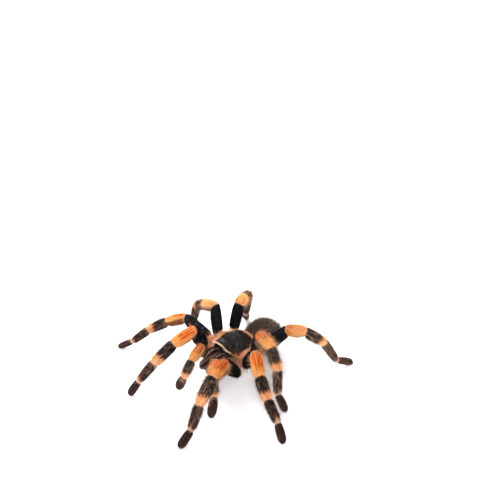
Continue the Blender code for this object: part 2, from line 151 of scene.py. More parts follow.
# Eyes, fangs and claws. A claw starts so far apart, ahead and down from the tip of its foot,
# and goes on in step with its length and, ahead and down, with the square of it.
LENS_RINGS, LENS_CORNERS = 18, 28
FANG_TIP = 0.06
CLAW_APART = (0.28, 0.10)
CLAW_AHEAD = (-0.35, 0.95, -0.25)
CLAW_DOWN = (0.05, 0.55)
CLAW_LEAST_HEIGHT = 0.12
CLAW_ROOT, CLAW_TIP = 0.13, 0.02

# The skin takes its values from so many sample places, and velvet thins over the joints
NEIGHBOURS = 4
THINNING, THINNING_LENGTH = 0.75, 0.022

# Kinds of tuft; None is given by a setting
TUFT_VALUES = ("Density", "Width", "Length", "Lift", "Spread", "Curl", "Segments")
TUFTS = {
    "velvet": (None, None, 1.0, 0.42, 0.35, 0.12, 1),
    "leg_bristle": (None, 0.062 * MM, 2.9, 0.85, 0.8, 0.25, 2),
    "palp_bristle": (None, 0.060 * MM, 2.6, 0.85, 0.8, 0.25, 2),
    "abdomen_pile": (2.6e7, 0.12 * MM, 0.75, 0.42, 0.4, 0.15, 1),
    "abdomen_bristle": (6.0e6, 0.05 * MM, 1.8, 0.72, 0.6, 0.25, 3),
    "jaw_pile": (3.0e7, 0.11 * MM, 1.0, 0.35, 0.3, 0.12, 1),
    "underside_pile": (2.4e7, 0.11 * MM, 1.0, 0.45, 0.4, 0.12, 1),
    "shield_pile": (2.6e7, 0.10 * MM, 0.62, 0.22, 0.25, 0.1, 1),
    "shield_fringe": (5.2e7, 0.085 * MM, 1.55, 0.30, 0.55, 0.22, 2),
}

# What each piece of the coat adds to the seed; a limb's velvet adds its region's number
SEED_STEPS = {
    "bristles_legs_left": 20, "bristles_legs_right": 24, "bristles_palps": 30,
    "shield_pile": 40, "shield_fringe": 41,
    "coat_abdomen": 50, "bristles_abdomen": 51, "coat_jaws": 52, "coat_underside": 53,
}

# Noises drawn out along a surface: changes round it and along it, scale, detail and
# roughness
LIMB_LINES = (2.4, 0.5, 2.2, 2.0, 0.6)
LIMB_FINE = (5.0, 7.0, 2.0, 3.0, 0.6)
LIMB_HAIRS = (4.2, 0.8, 2.2, 1.0, 0.5)
BODY_LINES = (3.0, 0.8, 2.4, 4.0, 0.62)
BODY_FINE = (9.0, 3.0, 2.0, 3.0, 0.6)
SHIELD_RAYS = (4.0, 0.7, 2.6, 4.0, 0.62)
SHIELD_FINE = (12.0, 9.0, 2.0, 3.0, 0.6)

# Bare skin at the joints: where it begins and ends, its softness and its share
BARE_JOINTS = ((5.97, 6.03, 0.015, 1.0), (4.975, 5.012, 0.010, 1.0), (3.985, 4.008, 0.008, 0.5))

# Painted shade of the coat's depth: how light a hair is at its root, how much it gains
# to its tip; and then the same from the darkest hair to the palest, a tone that differs at random
COAT_SHADE_AND_TONE = (0.35, 0.85, 0.50, 0.90)
SHIELD_SHADE_AND_TONE = (0.4, 0.8, 0.6, 0.8)
TINT_SHARE = 0.65       # how much of its tint the tip of a bristle takes

# Colours that go with those of the settings
NO_LIGHT = (0.0, 0.0, 0.0)
STRAW = (0.98, 0.60, 0.27)
KNEE_LINE = (0.070, 0.012, 0.005)
KNEE_UNDER, KNEE_RUST = (0.085, 0.030, 0.016), (0.34, 0.105, 0.034)
KNEE_FADED, KNEE_EDGE = (0.90, 0.52, 0.30), (0.90, 0.50, 0.28)
HIP_BROWN, HIP_PINK, HIP_UNDER = (0.36, 0.13, 0.07), (1.0, 0.51, 0.26), (0.05, 0.026, 0.018)
SHIN_DARK, SHIN_STREAK = (0.010, 0.006, 0.005), (0.105, 0.058, 0.044)
SHIN_GLINT, SHIN_FADED, SHIN_UNDER = (0.50, 0.29, 0.20), (0.30, 0.170, 0.120), (0.10, 0.055, 0.04)
BAND_RUST, BAND_SIDE = (0.42, 0.095, 0.025), (0.72, 0.29, 0.12)
BAND_PALE, BAND_ORANGE = (0.98, 0.64, 0.36), (0.74, 0.22, 0.06)
SHANK_DARK, SHANK_GLINT = (0.020, 0.010, 0.007), (0.52, 0.32, 0.23)
SHANK_FADED, SHANK_SPOT, SHANK_END = (0.38, 0.225, 0.165), (0.26, 0.060, 0.025), (0.82, 0.47, 0.30)
FOOT_STREAK, FOOT_SIDE, FOOT_FADED = (0.10, 0.056, 0.046), (0.11, 0.045, 0.034), (0.24, 0.15, 0.115)
ABDOMEN_DARK, ABDOMEN_BROWN = (0.016, 0.010, 0.008), (0.115, 0.074, 0.050)
ABDOMEN_GREY = (0.20, 0.14, 0.10)
JAW_DARK, JAW_BROWN = (0.026, 0.015, 0.012), (0.145, 0.082, 0.064)
JAW_BASE, JAW_STRIPE = (0.020, 0.012, 0.010), (0.60, 0.38, 0.30)
UNDER_BROWN = (0.05, 0.03, 0.024)
SHIELD_BLACK, SHIELD_RAY = (0.0100, 0.0098, 0.0096), (0.080, 0.054, 0.038)
SHIELD_WISP, SHIELD_RUST = (0.34, 0.13, 0.065), (0.40, 0.125, 0.05)
SHIELD_PEACH, SHIELD_PALE = (0.93, 0.43, 0.21), (0.95, 0.60, 0.38)
SHIELD_GAP, SHIELD_LINE = (0.36, 0.10, 0.035), (1.0, 0.72, 0.48)
LIMB_TIP, ABDOMEN_TIP = (0.84, 0.56, 0.42), (0.34, 0.24, 0.19)
EYE_DARK, EYE_HAZE = (0.006, 0.005, 0.005), (0.030, 0.020, 0.015)
HORN_DARK, HORN_BROWN = (0.010, 0.007, 0.006), (0.045, 0.018, 0.010)

# The stage
FLOOR_HALF = 6.0        # metres
LIGHTS = (("key", (-0.82, 0.25, 0.62), 1.0), ("fill", (0.8, -0.8, 0.8), 0.40))  # way to it, share
CAMERA_OFFSET = (0.18069, -0.169005, 0.1778)            # metres from the body's middle
CAMERA_TURN = (math.radians(62.35), 0.0, math.radians(45.2))
CAMERA_LENS = 47.7576


# ---- settings ------------------------------------------------------------

class TarantulaSkinSettings(bpy.types.PropertyGroup):
    voxel: bpy.props.FloatProperty(
        name="Voxel", description="Size of the skin's mesh", default=0.38 * MM, unit="LENGTH")
    smoothing: bpy.props.IntProperty(
        name="Smoothing", description="Rounds of smoothing over the skin", default=6)
    joint_pinch: bpy.props.FloatProperty(
        name="Joint pinch", description="How far a limb narrows at a joint", default=0.22 * MM,
        unit="LENGTH")


class TarantulaCoatSettings(bpy.types.PropertyGroup):
    density: bpy.props.FloatProperty(
        name="Density", description="Tufts on each square millimetre of a limb", default=30.0)
    width: bpy.props.FloatProperty(
        name="Width", description="Width of a tuft at its root", default=0.12 * MM, unit="LENGTH")
    bristles: bpy.props.FloatProperty(
        name="Bristles", description="Long hairs on each square millimetre", default=2.2)
    seed: bpy.props.IntProperty(
        name="Seed", description="Changes how the tufts are scattered", default=3)


class TarantulaColourSettings(bpy.types.PropertyGroup):
    black: bpy.props.FloatVectorProperty(
        name="Black", description="Velvet of the thighs", subtype="COLOR",
        default=(0.0165, 0.016, 0.017))
    brown: bpy.props.FloatVectorProperty(
        name="Brown", description="Feet", subtype="COLOR", default=(0.031, 0.0155, 0.0115))
    dusk: bpy.props.FloatVectorProperty(
        name="Dusk", description="Pinkish grey streaks of the shanks", subtype="COLOR",
        default=(0.155, 0.086, 0.070))
    orange: bpy.props.FloatVectorProperty(
        name="Orange", description="Knees", subtype="COLOR", default=(0.95, 0.25, 0.038))
    flame: bpy.props.FloatVectorProperty(
        name="Flame", description="Red marks on the knees", subtype="COLOR",
        default=(0.80, 0.125, 0.012))
    amber: bpy.props.FloatVectorProperty(
        name="Amber", description="Outer part of the knees", subtype="COLOR",
        default=(0.98, 0.42, 0.095))
    peach: bpy.props.FloatVectorProperty(
        name="Peach", description="Ends of the knees and bands of the shins", subtype="COLOR",
        default=(0.93, 0.43, 0.17))
    blush: bpy.props.FloatVectorProperty(
        name="Blush", description="Pale skin at the joints", subtype="COLOR",
        default=(0.88, 0.58, 0.46))


class TarantulaStageSettings(bpy.types.PropertyGroup):
    sun_strength: bpy.props.FloatProperty(
        name="Key light", description="Strength of the soft light from the side", default=6.0)
    sun_softness: bpy.props.FloatProperty(
        name="Softness", description="Width of the soft light in the sky",
        default=math.radians(30.0), subtype="ANGLE")
    world_light: bpy.props.FloatProperty(
        name="World light", description="Strength of the even light all round", default=1.08)


def settings(kind):
    return getattr(bpy.context.scene, f"tarantula_{kind}")


def palette():
    """The colours of the settings by their names."""
    colours = settings("colours")
    return {name: tuple(getattr(colours, name)) for name in TarantulaColourSettings.__annotations__}


# ---- small sums ----------------------------------------------------------

def unit(vectors):
    return vectors / np.maximum(np.linalg.norm(vectors, axis=-1, keepdims=True), 1e-12)


def smooth_step(x):
    x = np.clip(x, 0.0, 1.0)
    return x * x * (3.0 - 2.0 * x)


def table_at(places, table):
    """Values of a table of places and values, drawn straight between its rows."""
    return np.interp(places, *zip(*table))


def smooth_rows(knots, rows, places):
    """Rows of values drawn smoothly through those at the knots."""
    slopes = np.gradient(rows, knots, axis=0)
    index = np.clip(np.searchsorted(knots, places) - 1, 0, len(knots) - 2)
    width = (knots[index + 1] - knots[index])[:, None]
    t = (places[:, None] - knots[index][:, None]) / width
    start, end = rows[index], rows[index + 1]
    rise, fall = slopes[index] * width, slopes[index + 1] * width
    return (start * (2 * t**3 - 3 * t**2 + 1) + rise * (t**3 - 2 * t**2 + t)
            + end * (3 * t**2 - 2 * t**3) + fall * (t**3 - t**2))


def walls(rings, corners, first, flipped=False):
    """Corner numbers of the faces between rings of corners that are counted from first."""
    here = np.arange(corners)
    following = np.roll(here, -1)
    faces = []
    for ring in range(rings - 1):
        low, high = first + ring * corners, first + (ring + 1) * corners
        quad = [low + here, low + following, high + following, high + here]
        if flipped:
            quad[1:] = quad[:0:-1]
        faces.extend(np.stack(quad, axis=1).tolist())
    return faces


def closed(rings, corners):
    """Faces of a shell of rings between two poles, its first place and its last."""
    pairs = [(corner, (corner + 1) % corners) for corner in range(corners)]
    last = 1 + (rings - 1) * corners
    top = [[0, 1 + a, 1 + b] for a, b in pairs]
    bottom = [[last + a, last + corners, last + b] for a, b in pairs]
    return top + walls(rings, corners, 1, flipped=True) + bottom


def ball(rings, corners):
    """Places and faces of a ball of radius 1."""
    falls = math.pi * np.arange(1, rings) / rings
    turns = FULL_TURN * np.arange(corners) / corners
    places = np.stack([np.outer(np.sin(falls), np.cos(turns)), np.outer(np.sin(falls), np.sin(turns)),
                       np.repeat(np.cos(falls)[:, None], corners, axis=1)], axis=-1).reshape(-1, 3)
    return np.vstack([[0.0, 0.0, 1.0], places, [0.0, 0.0, -1.0]]), closed(rings - 1, corners)


def laid(lie, normals, nudge=0.0):
    """Directions laid flat on a surface; a nudge keeps one that stood upright from vanishing."""
    return unit(lie - normals * (lie * normals).sum(axis=1, keepdims=True) + nudge)


# ---- reading the solids --------------------------------------------------

def joined_solid(node):
    """Corners of a solid, their neighbours and its faces, with its triangles joined."""
    bm = bmesh.new()
    bm.from_mesh(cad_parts[node].data)
    bmesh.ops.remove_doubles(bm, verts=bm.verts, dist=1e-6)
    places = np.array([vertex.co for vertex in bm.verts]) / MM
    links = [[edge.other_vert(vertex).index for edge in vertex.link_edges] for vertex in bm.verts]
    faces = [[vertex.index for vertex in face.verts] for face in bm.faces]
    bm.free()
    return places, links, faces


def layers_of(node, neighbour):
    """Rings of a drawn-out solid, from the end that meets its neighbour."""
    places, links, _ = joined_solid(node)
    others = joined_solid(neighbour)[0]
    gaps = np.linalg.norm(places[:, None] - others[None], axis=2).min(axis=1)
    layer = [int(index) for index in np.nonzero(gaps < SEAM_REACH)[0]]
    seen = set(layer)
    layers = []
    while layer:
        layers.append(places[layer])
        following = sorted({other for index in layer for other in links[index]} - seen)
        seen.update(following)
        layer = following
    return layers


def foot_layers(limb):
    """Rings of a foot; the last two are told apart by their reach, since the floor cuts them."""
    layers = layers_of(f"{limb}_foot", f"{limb}_tibia")
    whole = layers[:WHOLE_FOOT_RINGS]
    rest = np.vstack(layers[WHOLE_FOOT_RINGS:])
    rest = rest[rest[:, 2] > 0.001]
    reach = rest @ (whole[-1].mean(axis=0) - whole[-2].mean(axis=0))
    order = np.argsort(reach)
    split = int(np.argmax(np.diff(reach[order]))) + 1
    return whole + [rest[order[:split]], rest[order[split:]]]


def limb_layers(limb):
    """Rings of a limb from hip to tip, and the parts they belong to."""
    last = "shin" if limb in PALPS else "tibia"
    layers = layers_of(f"{limb}_femur", f"{limb}_patella")[::-1]
    layers += layers_of(f"{limb}_patella", f"{limb}_femur")
    layers += layers_of(f"{limb}_{last}", f"{limb}_patella")
    if limb in PALPS:
        return layers, PALP_PARTS
    return layers + foot_layers(limb), LEG_PARTS


def limb_rings(limb):
    """Middle, two half axes and place along the limb of each ring of a limb's solids."""
    layers, parts = limb_layers(limb)
    middles = np.array([layer.mean(axis=0) for layer in layers])
    along = []
    first = 0
    for count, low, high in parts:
        part = middles[first:first + count]
        before = middles[first - 1:first] if low in GOES_ON else part[:1]
        run = np.cumsum(np.linalg.norm(np.diff(np.vstack([before, part]), axis=0), axis=1))
        along.extend(low + (high - low) * run / run[-1])
        first += count
    knee = middles[KNEE_RING]
    bend = np.cross(knee - middles[THIGH_RING], middles[-1] - knee)
    ahead = unit(np.gradient(middles, axis=0))
    if np.cross(bend, ahead[KNEE_RING])[2] < 0.0:
        bend = -bend
    rings = []
    ratio = 1.0
    for layer, forward in zip(layers, ahead):
        if len(layer) >= SIDES_ROUND - 2:
            normal = np.linalg.svd(layer - layer.mean(axis=0))[2][2]
            forward = normal if normal @ forward > 0.0 else -normal
        across = unit(bend - forward * (bend @ forward))
        above = np.cross(across, forward)
        x = layer @ across
        y = layer @ above
        half_width = 0.5 * (x.max() - x.min()) / math.cos(math.pi / SIDES_ROUND)
        if len(layer) == SIDES_ROUND:
            ratio = 0.5 * (y.max() - y.min()) / half_width
        half_depth = ratio * half_width
        middle = across * 0.5 * (x.max() + x.min()) + above * (y.max() - half_depth)
        middle = middle + forward * (layer @ forward).mean()
        rings.append(np.concatenate([middle, across * half_width, above * half_depth]))
    return np.array(rings), np.array(along)


def drop_repeats(rings, along):
    """Leave out the second of two rings that face each other over a seam."""
    steps = np.linalg.norm(np.diff(rings[:, :3], axis=0), axis=1)
    keep = np.concatenate([[True], steps > LEAST_RING_GAP])
    return rings[keep], along[keep]


class Tube:
    """Rings of corners drawn smoothly through a few, with what the coat needs at each."""

    def __init__(self, rings, along, depth, step=0.3, corners=32, pinch=0.0):
        run = np.concatenate([[0.0], np.cumsum(np.linalg.norm(np.diff(rings[:, :3], axis=0), axis=1))])
        places = np.linspace(0.0, run[-1], max(8, int(run[-1] / step)))
        rows = smooth_rows(run, np.hstack([rings, along[:, None]]), places)
        middle, across, above, self.along = rows[:, :3], rows[:, 3:6], rows[:, 6:9], rows[:, 9]
        self.turns = FULL_TURN * np.arange(corners) / corners
        less = table_at(self.along, depth)
        for joint in range(1, 7):
            here = float(np.interp(joint, self.along, places))
            less = less + pinch * np.exp(-((places - here) / PINCH_LENGTH) ** 2)
        wide = np.maximum(np.linalg.norm(across, axis=1) - less, LEAST_RADIUS)
        deep = np.maximum(np.linalg.norm(above, axis=1) - less, LEAST_RADIUS)
        self.tangent = unit(np.gradient(middle, axis=0))
        self.places = (middle[:, None]
                       + unit(across)[:, None] * (wide[:, None] * np.cos(self.turns))[..., None]
                       + unit(above)[:, None] * (deep[:, None] * np.sin(self.turns))[..., None])

    def faces(self, first):
        """Corner numbers of the walls and of the two closed ends, counted from first."""
        rings, corners = self.places.shape[:2]
        here = np.arange(corners)
        ends = [(first + here[::-1]).tolist(), (first + (rings - 1) * corners + here).tolist()]
        return walls(rings, corners, first) + ends


# ---- the body's own places ----------------------------------------------

def body_frame():
    """Turn and middle of the body, from the solids of the two front eyes."""
    turn = np.array(TILT.to_3x3())
    low, high = (np.array(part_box(f"eye_front_middle_{side}")) / MM for side in SIDES)
    between = (low.mean(axis=0) + high.mean(axis=0)) / 2.0
    return turn, between - turn @ np.array([0.0, -EYE_PAIR[0], EYE_PAIR[1]])


BODY_TURN, BODY_MIDDLE = body_frame()


def on_body(forward, left, up):
    """World places of places on the body, one row each."""
    local = np.stack(np.broadcast_arrays(left, -np.asarray(forward), up), axis=-1).astype(float)
    return local @ BODY_TURN.T + BODY_MIDDLE


def off_body(places):
    """Left, backward and up on the body of world places, one row each."""
    return (places - BODY_MIDDLE) @ BODY_TURN


def rim_outline(turn):
    """Forward and left of the shield's rim."""
    ahead, across = np.cos(turn), np.sin(turn)
    power = 2.0 / RIM_SQUARENESS
    forward = RIM_HALF_LENGTH * np.sign(ahead) * np.abs(ahead) ** power
    left = RIM_HALF_WIDTH * np.sign(across) * np.abs(across) ** power
    narrowed = 1.0 - 0.20 * smooth_step((forward + 3.0) / 12.0)
    return np.minimum(forward, RIM_FRONT), left * narrowed


def rim_rise(forward, left):
    return FRONT_ARCH * smooth_step((forward - 1.0) / 7.5) * (1.0 - 0.62 * (left / 6.5) ** 2)


def dome(forward, left, part):
    """Height of the plain dome, where part is 0 at its crown and 1 at its rim."""
    return rim_rise(forward, left) + DOME_HEIGHT * (1.0 - part ** DOME_POWER)


def turret(forward, left):
    """Height of the low turret that the eyes sit in."""
    away = np.hypot((forward - TURRET_FORWARD) / TURRET_LENGTH, left / TURRET_WIDTH)
    return TURRET_HEIGHT * (1.0 - smooth_step((away - 0.45) / 0.75))


def shield_top(forward, left, part):
    """Height of the shield with its pit, its furrows and the eyes' turret."""
    height = dome(forward, left, part) - SHIELD_SUNK
    pit = np.exp(-((forward - PIT_FORWARD) / PIT_LENGTH) ** 2 - (left / PIT_WIDTH) ** 2)
    height = height - PIT_DEPTH * pit
    bearing = np.degrees(np.arctan2(np.abs(left), forward - FURROW_START))
    out = np.hypot(forward - FURROW_START, left)
    reach = smooth_step((out - 1.2) / 1.5) * (1.0 - smooth_step((part - 0.72) / 0.22))
    for heading, depth in FURROWS:
        gap = np.radians(bearing - heading) * out
        height = height - depth * np.exp(-(gap / FURROW_WIDTH) ** 2) * reach
    return height + turret(forward, left)


# ---- meshes --------------------------------------------------------------

def new_piece(name, mesh):
    piece = bpy.data.objects.new(name, mesh)
    bpy.context.scene.collection.objects.link(piece)
    return piece


def mesh_of(name, places, faces):
    """A smooth mesh from millimetre places."""
    mesh = bpy.data.meshes.new(name)
    mesh.from_pydata((np.asarray(places) * MM).tolist(), [], faces)
    mesh.validate()
    mesh.shade_smooth()
    return mesh


def outward(mesh):
    bm = bmesh.new()
    bm.from_mesh(mesh)
    bmesh.ops.recalc_face_normals(bm, faces=bm.faces)
    bm.to_mesh(mesh)
    bm.free()
    mesh.shade_smooth()


def applied(piece):
    """Turn a piece's modifiers into its mesh."""
    evaluated = piece.evaluated_get(bpy.context.evaluated_depsgraph_get())
    mesh = bpy.data.meshes.new_from_object(evaluated)
    piece.modifiers.clear()
    piece.data = mesh
    return piece


def set_values(mesh, domain="POINT", **attributes):
    for name, values in attributes.items():
        values = np.asarray(values)
        kind = "FLOAT_VECTOR" if values.ndim == 2 else "INT" if values.dtype.kind == "i" else "FLOAT"
        attribute = mesh.attributes.new(name, kind, domain)
        attribute.data.foreach_set("vector" if values.ndim == 2 else "value", values.ravel())


def read_values(items, name, width=1, kind=float):
    flat = np.empty(len(items) * width, kind)
    items.foreach_get(name, flat)
    return flat.reshape(-1, width) if width > 1 else flat


def places_of(mesh):
    return read_values(mesh.vertices, "co", 3) / MM


def normals_of(mesh):
    return read_values(mesh.vertices, "normal", 3)


def rounded_solid(node, inset):
    """Places and faces of a soft copy of a solid, drawn in by inset."""
    places, _, faces = joined_solid(node)
    piece = new_piece(node + "_form", mesh_of(node + "_form", places, faces))
    soften = piece.modifiers.new("Round", "SUBSURF")
    soften.levels = soften.render_levels = 2
    applied(piece)
    mesh = piece.data
    outward(mesh)
    moved = places_of(mesh) - normals_of(mesh) * inset
    faces = [list(polygon.vertices) for polygon in mesh.polygons]
    bpy.data.objects.remove(piece)
    return moved, faces


# ---- shader graphs -------------------------------------------------------

class Wire:
    """A socket that takes part in sums; numbers mix in as they are."""

    def __init__(self, graph, socket):
        self.graph = graph
        self.socket = socket

    def __add__(self, other):
        return self.graph.math("ADD", self, other)

    def __sub__(self, other):
        return self.graph.math("SUBTRACT", self, other)

    def __rsub__(self, other):
        return self.graph.math("SUBTRACT", other, self)

    def __mul__(self, other):
        return self.graph.math("MULTIPLY", self, other)

    def __truediv__(self, other):
        return self.graph.math("DIVIDE", self, other)

    def __neg__(self):
        return 0.0 - self

    def __abs__(self):
        return self.graph.math("ABSOLUTE", self)

    __radd__ = __add__
    __rmul__ = __mul__


class Graph:
    """Adds nodes to a material's or a group's tree."""

    def __init__(self, tree):
        self.tree = tree

    def socket(self, sockets, key):
        """A socket by its number or its identifier."""
        if isinstance(key, int):
            return sockets[key]
        return next(socket for socket in sockets if socket.identifier == key)

    def add(self, kind, options=None, inputs=(), output=0):
        """A node with its options set first and then its sockets; returns one of its outputs."""
        node = self.tree.nodes.new(kind)
        for name, value in (options or {}).items():
            setattr(node, name, value)
        for key, value in inputs.items() if isinstance(inputs, dict) else enumerate(inputs):
            socket = self.socket(node.inputs, key)
            if isinstance(value, Wire):
                self.tree.links.new(value.socket, socket)
            else:
                socket.default_value = (*value, 1.0) if socket.type == "RGBA" else value
        return Wire(self, self.socket(node.outputs, output))

    def beside(self, wire, output):
        """Another output of the node that a wire comes from."""
        return Wire(self, self.socket(wire.socket.node.outputs, output))

    def feed(self, node, **wires):
        """Link wires to a node's sockets, which are told by their names."""
        for name, wire in wires.items():
            self.tree.links.new(wire.socket, node.inputs[name.replace("_", " ")])

    def math(self, operation, *values):
        return self.add("ShaderNodeMath", {"operation": operation}, values)

    def attribute(self, name, output="Fac"):
        return self.add("ShaderNodeAttribute", {"attribute_name": name}, output=output)

    def parts(self, vector):
        return [self.add("ShaderNodeSeparateXYZ", None, [vector], output) for output in range(3)]

    def vector(self, x, y, z):
        return self.add("ShaderNodeCombineXYZ", None, [x, y, z])

    def vector_math(self, operation, *values):
        return self.add("ShaderNodeVectorMath", {"operation": operation}, values)

    def scaled(self, vector, factor):
        return self.add("ShaderNodeVectorMath", {"operation": "SCALE"}, {0: vector, "Scale": factor})

    def step(self, value, low, high):
        """0 below low, 1 above high and smooth between."""
        options = {"interpolation_type": "SMOOTHSTEP", "clamp": True}
        return self.add("ShaderNodeMapRange", options, [value, low, high, 0.0, 1.0])

    def band(self, value, low, high, soft):
        """1 from low to high and 0 outside."""
        return self.step(value, low - soft, low + soft) * (1.0 - self.step(value, high - soft, high + soft))

    def stripes(self, place, count):
        """0 on the middle of each of so many lines over one unit of place, 1 between them."""
        return abs(self.math("FRACT", place * count) * 2.0 - 1.0)

    def noise(self, vector, scale, detail, roughness):
        return self.add("ShaderNodeTexNoise", None,
                        {"Vector": vector, "Scale": scale, "Detail": detail, "Roughness": roughness})

    def drawn_noise(self, x, y, along, pattern):
        """Noise drawn out along a surface, by one of the patterns above."""
        often, run, scale, detail, roughness = pattern
        return self.noise(self.vector(x * often, y * often, along * run), scale, detail, roughness)

    def grain(self, scale, detail, roughness=0.5):
        """Noise that goes through a piece, whichever way its surface turns."""
        return self.noise(self.add("ShaderNodeTexCoord", output="Object"), scale, detail, roughness)

    def bump(self, height, strength, depth):
        return self.add("ShaderNodeBump", None, {"Strength": strength, "Distance": depth, "Height": height})

    def mix(self, factor, first, second):
        options = {"data_type": "RGBA", "blend_type": "MIX", "clamp_factor": True}
        return self.add("ShaderNodeMix", options, {0: factor, 6: first, 7: second}, output=2)

    def paint(self, colour, *layers):
        """A colour with layers over it, each given by how much of it shows and its colour."""
        for share, over in layers:
            colour = self.mix(share, colour, over)
        return colour


def material(name, **constants):
    """A Principled material; returns it with its graph and shader."""
    made = bpy.data.materials.new(name)
    made.use_nodes = True
    shader = made.node_tree.nodes["Principled BSDF"]
    for socket, value in constants.items():
        shader.inputs[socket.replace("_", " ")].default_value = value
    return made, Graph(made.node_tree), shader


# ---- markings ------------------------------------------------------------

def knee_marks(graph, knee, side, up, lines, fine, faded):
    """Colour of a patella: flames and dark lines over orange inside, amber and peach outside."""
    colours = palette()
    flank = abs(side)
    top = graph.step(up, 0.0, 0.5)
    place = knee + (lines - 0.5) * 0.42 + (fine - 0.5) * 0.24 + faded * 0.34
    flames = graph.band(place, 0.10, 0.60, 0.06) * (1.0 - graph.step(flank, 0.50, 0.85)) * top
    red = graph.step(1.0 - lines, 0.45, 0.55) * graph.step(fine, 0.30, 0.48)
    gap = graph.stripes(side + (lines - 0.5) * 0.22 + 0.25, 2.0)
    dark = graph.band(place, 0.12, 0.66, 0.05) * (1.0 - graph.step(gap, 0.08, 0.26)) * top
    rust = graph.mix(graph.step(fine, 0.40, 0.60), KNEE_UNDER, KNEE_RUST)
    edge = 1.0 - graph.step(knee + (fine - 0.5) * 0.10, 0.02, 0.09)
    return graph.paint(
        colours["orange"],
        (graph.step(place, 0.34, 0.62), colours["amber"]),
        (graph.step(place, 0.66, 0.95) * 0.55, colours["peach"]),
        (graph.step(lines, 0.54, 0.64) * 0.6, STRAW),
        (flames * red * (0.8 - 0.7 * faded), colours["flame"]),
        (dark * graph.step(fine, 0.30, 0.46) * 0.9, KNEE_LINE),
        (graph.step(flank, 0.86, 1.0) * 0.45, STRAW),
        (graph.step(-up + (lines - 0.5) * 1.6, -0.15, 0.25) * 0.95, rust),
        (faded * graph.step(lines, 0.40, 0.55) * 0.5, KNEE_FADED),
        (edge * 0.8, KNEE_EDGE),
    )


def limb_marks(graph, along, side, up):
    """Colour of a limb from its place along and round the limb, and two of its noises."""
    colours = palette()
    faded = graph.attribute("faded")
    lines, fine, hairs = (graph.drawn_noise(side, up, along, pattern)
                          for pattern in (LIMB_LINES, LIMB_FINE, LIMB_HAIRS))
    ragged = along + (lines - 0.5) * 0.45 + (hairs - 0.5) * 0.34 + (fine - 0.5) * 0.10
    flank = abs(side)
    streak = graph.step(lines, 0.53, 0.62)
    glint = graph.step(hairs, 0.64, 0.70)
    worn = faded * (0.05 + streak * 0.65)

    hip = graph.paint(
        HIP_BROWN,
        (graph.step(hairs, 0.36, 0.50), HIP_PINK),
        (graph.step(-up + (fine - 0.5) * 0.4, 0.35, 0.75) * 0.9, HIP_UNDER),
    )
    hip_end = along + (lines - 0.5) * 0.3 + (hairs - 0.5) * 0.2 - graph.attribute("hip")
    knee = knee_marks(graph, along - PATELLA, side, up, lines, fine, faded)
    rust = graph.mix(graph.step(flank, 0.2, 0.8), BAND_RUST, BAND_SIDE)
    band = graph.step(ragged, 4.67, 4.73)
    shin = graph.paint(
        SHIN_DARK,
        (streak * 0.55, SHIN_STREAK),
        (glint * 0.35, SHIN_GLINT),
        (worn, SHIN_FADED),
        (graph.step(ragged, 4.60, 4.66), rust),
        (band, colours["peach"]),
        (graph.step(lines, 0.52, 0.60) * band * 0.75, BAND_PALE),
        (graph.step(1.0 - lines, 0.52, 0.62) * band * 0.55, BAND_ORANGE),
        (graph.step(-up, 0.3, 0.9) * 0.5, SHIN_UNDER),
    )
    spot = graph.band(along + (fine - 0.5) * 0.2, 5.66, 5.86, 0.05)
    spot = spot * (1.0 - graph.step(flank, 0.2, 0.6)) * graph.step(up, 0.05, 0.6)
    shank = graph.paint(
        SHANK_DARK,
        (streak * 0.6, colours["dusk"]),
        (glint * 0.5, SHANK_GLINT),
        (worn, SHANK_FADED),
        (spot * 0.7, SHANK_SPOT),
        (graph.step(ragged, 5.84, 5.92), SHANK_END),
    )
    foot = graph.paint(
        colours["brown"],
        (streak * 0.45, FOOT_STREAK),
        (graph.step(flank, 0.6, 1.0) * 0.5, FOOT_SIDE),
        (faded * (0.1 + streak * 0.6), FOOT_FADED),
    )
    bare = sum(graph.band(along, low, high, soft) * share for low, high, soft, share in BARE_JOINTS)
    colour = graph.paint(
        hip,
        (graph.step(hip_end, 1.72, 1.88), colours["black"]),
        (graph.step(along + (fine - 0.5) * 0.05, PATELLA - 0.025, PATELLA + 0.005), knee),
        (graph.step(along, TIBIA - 0.015, TIBIA + 0.015), shin),
        (graph.step(along, METATARSUS - 0.015, METATARSUS + 0.015), shank),
        (graph.step(along, TARSUS - 0.005, TARSUS + 0.02), foot),
        (bare * 0.85, colours["blush"]),
    )
    return colour, lines, fine


def body_marks(graph, along, side, up):
    """Colours of the abdomen and of the jaws."""
    lines, fine = (graph.drawn_noise(side, up, along, pattern) for pattern in (BODY_LINES, BODY_FINE))
    stripe = 1.0 - graph.step(graph.stripes(side + (lines - 0.5) * 0.16 + 0.1, 2.0), 0.14, 0.36)
    abdomen = graph.paint(
        ABDOMEN_DARK,
        (graph.step(lines, 0.46, 0.60) * 0.8, ABDOMEN_BROWN),
        (graph.step(fine, 0.52, 0.66) * 0.4, ABDOMEN_GREY),
    )
    jaws = graph.paint(
        JAW_DARK,
        (graph.step(lines, 0.44, 0.60) * 0.75, JAW_BROWN),
        ((1.0 - graph.step(along, 1.5, 3.5)) * 0.6, JAW_BASE),
        (stripe * graph.step(fine, 0.28, 0.46) * 0.9, JAW_STRIPE),
    )
    return abdomen, jaws


def body_marking(graph):
    """Colour of skin and coat, which read the same attributes, and two noises for bumps."""
    along, zone = graph.attribute("along"), graph.attribute("zone")
    side, up, _ = graph.parts(graph.attribute("around", "Vector"))
    limbs, lines, fine = limb_marks(graph, along, side, up)
    abdomen, jaws = body_marks(graph, along, side, up)
    shades = ((ABDOMEN_ZONE, abdomen), (JAW_ZONE, jaws), (UNDER_ZONE, UNDER_BROWN))
    colour = graph.paint(limbs, *((graph.step(zone, number - 0.55, number - 0.45), shade)
                                  for number, shade in shades))
    return colour, lines, fine


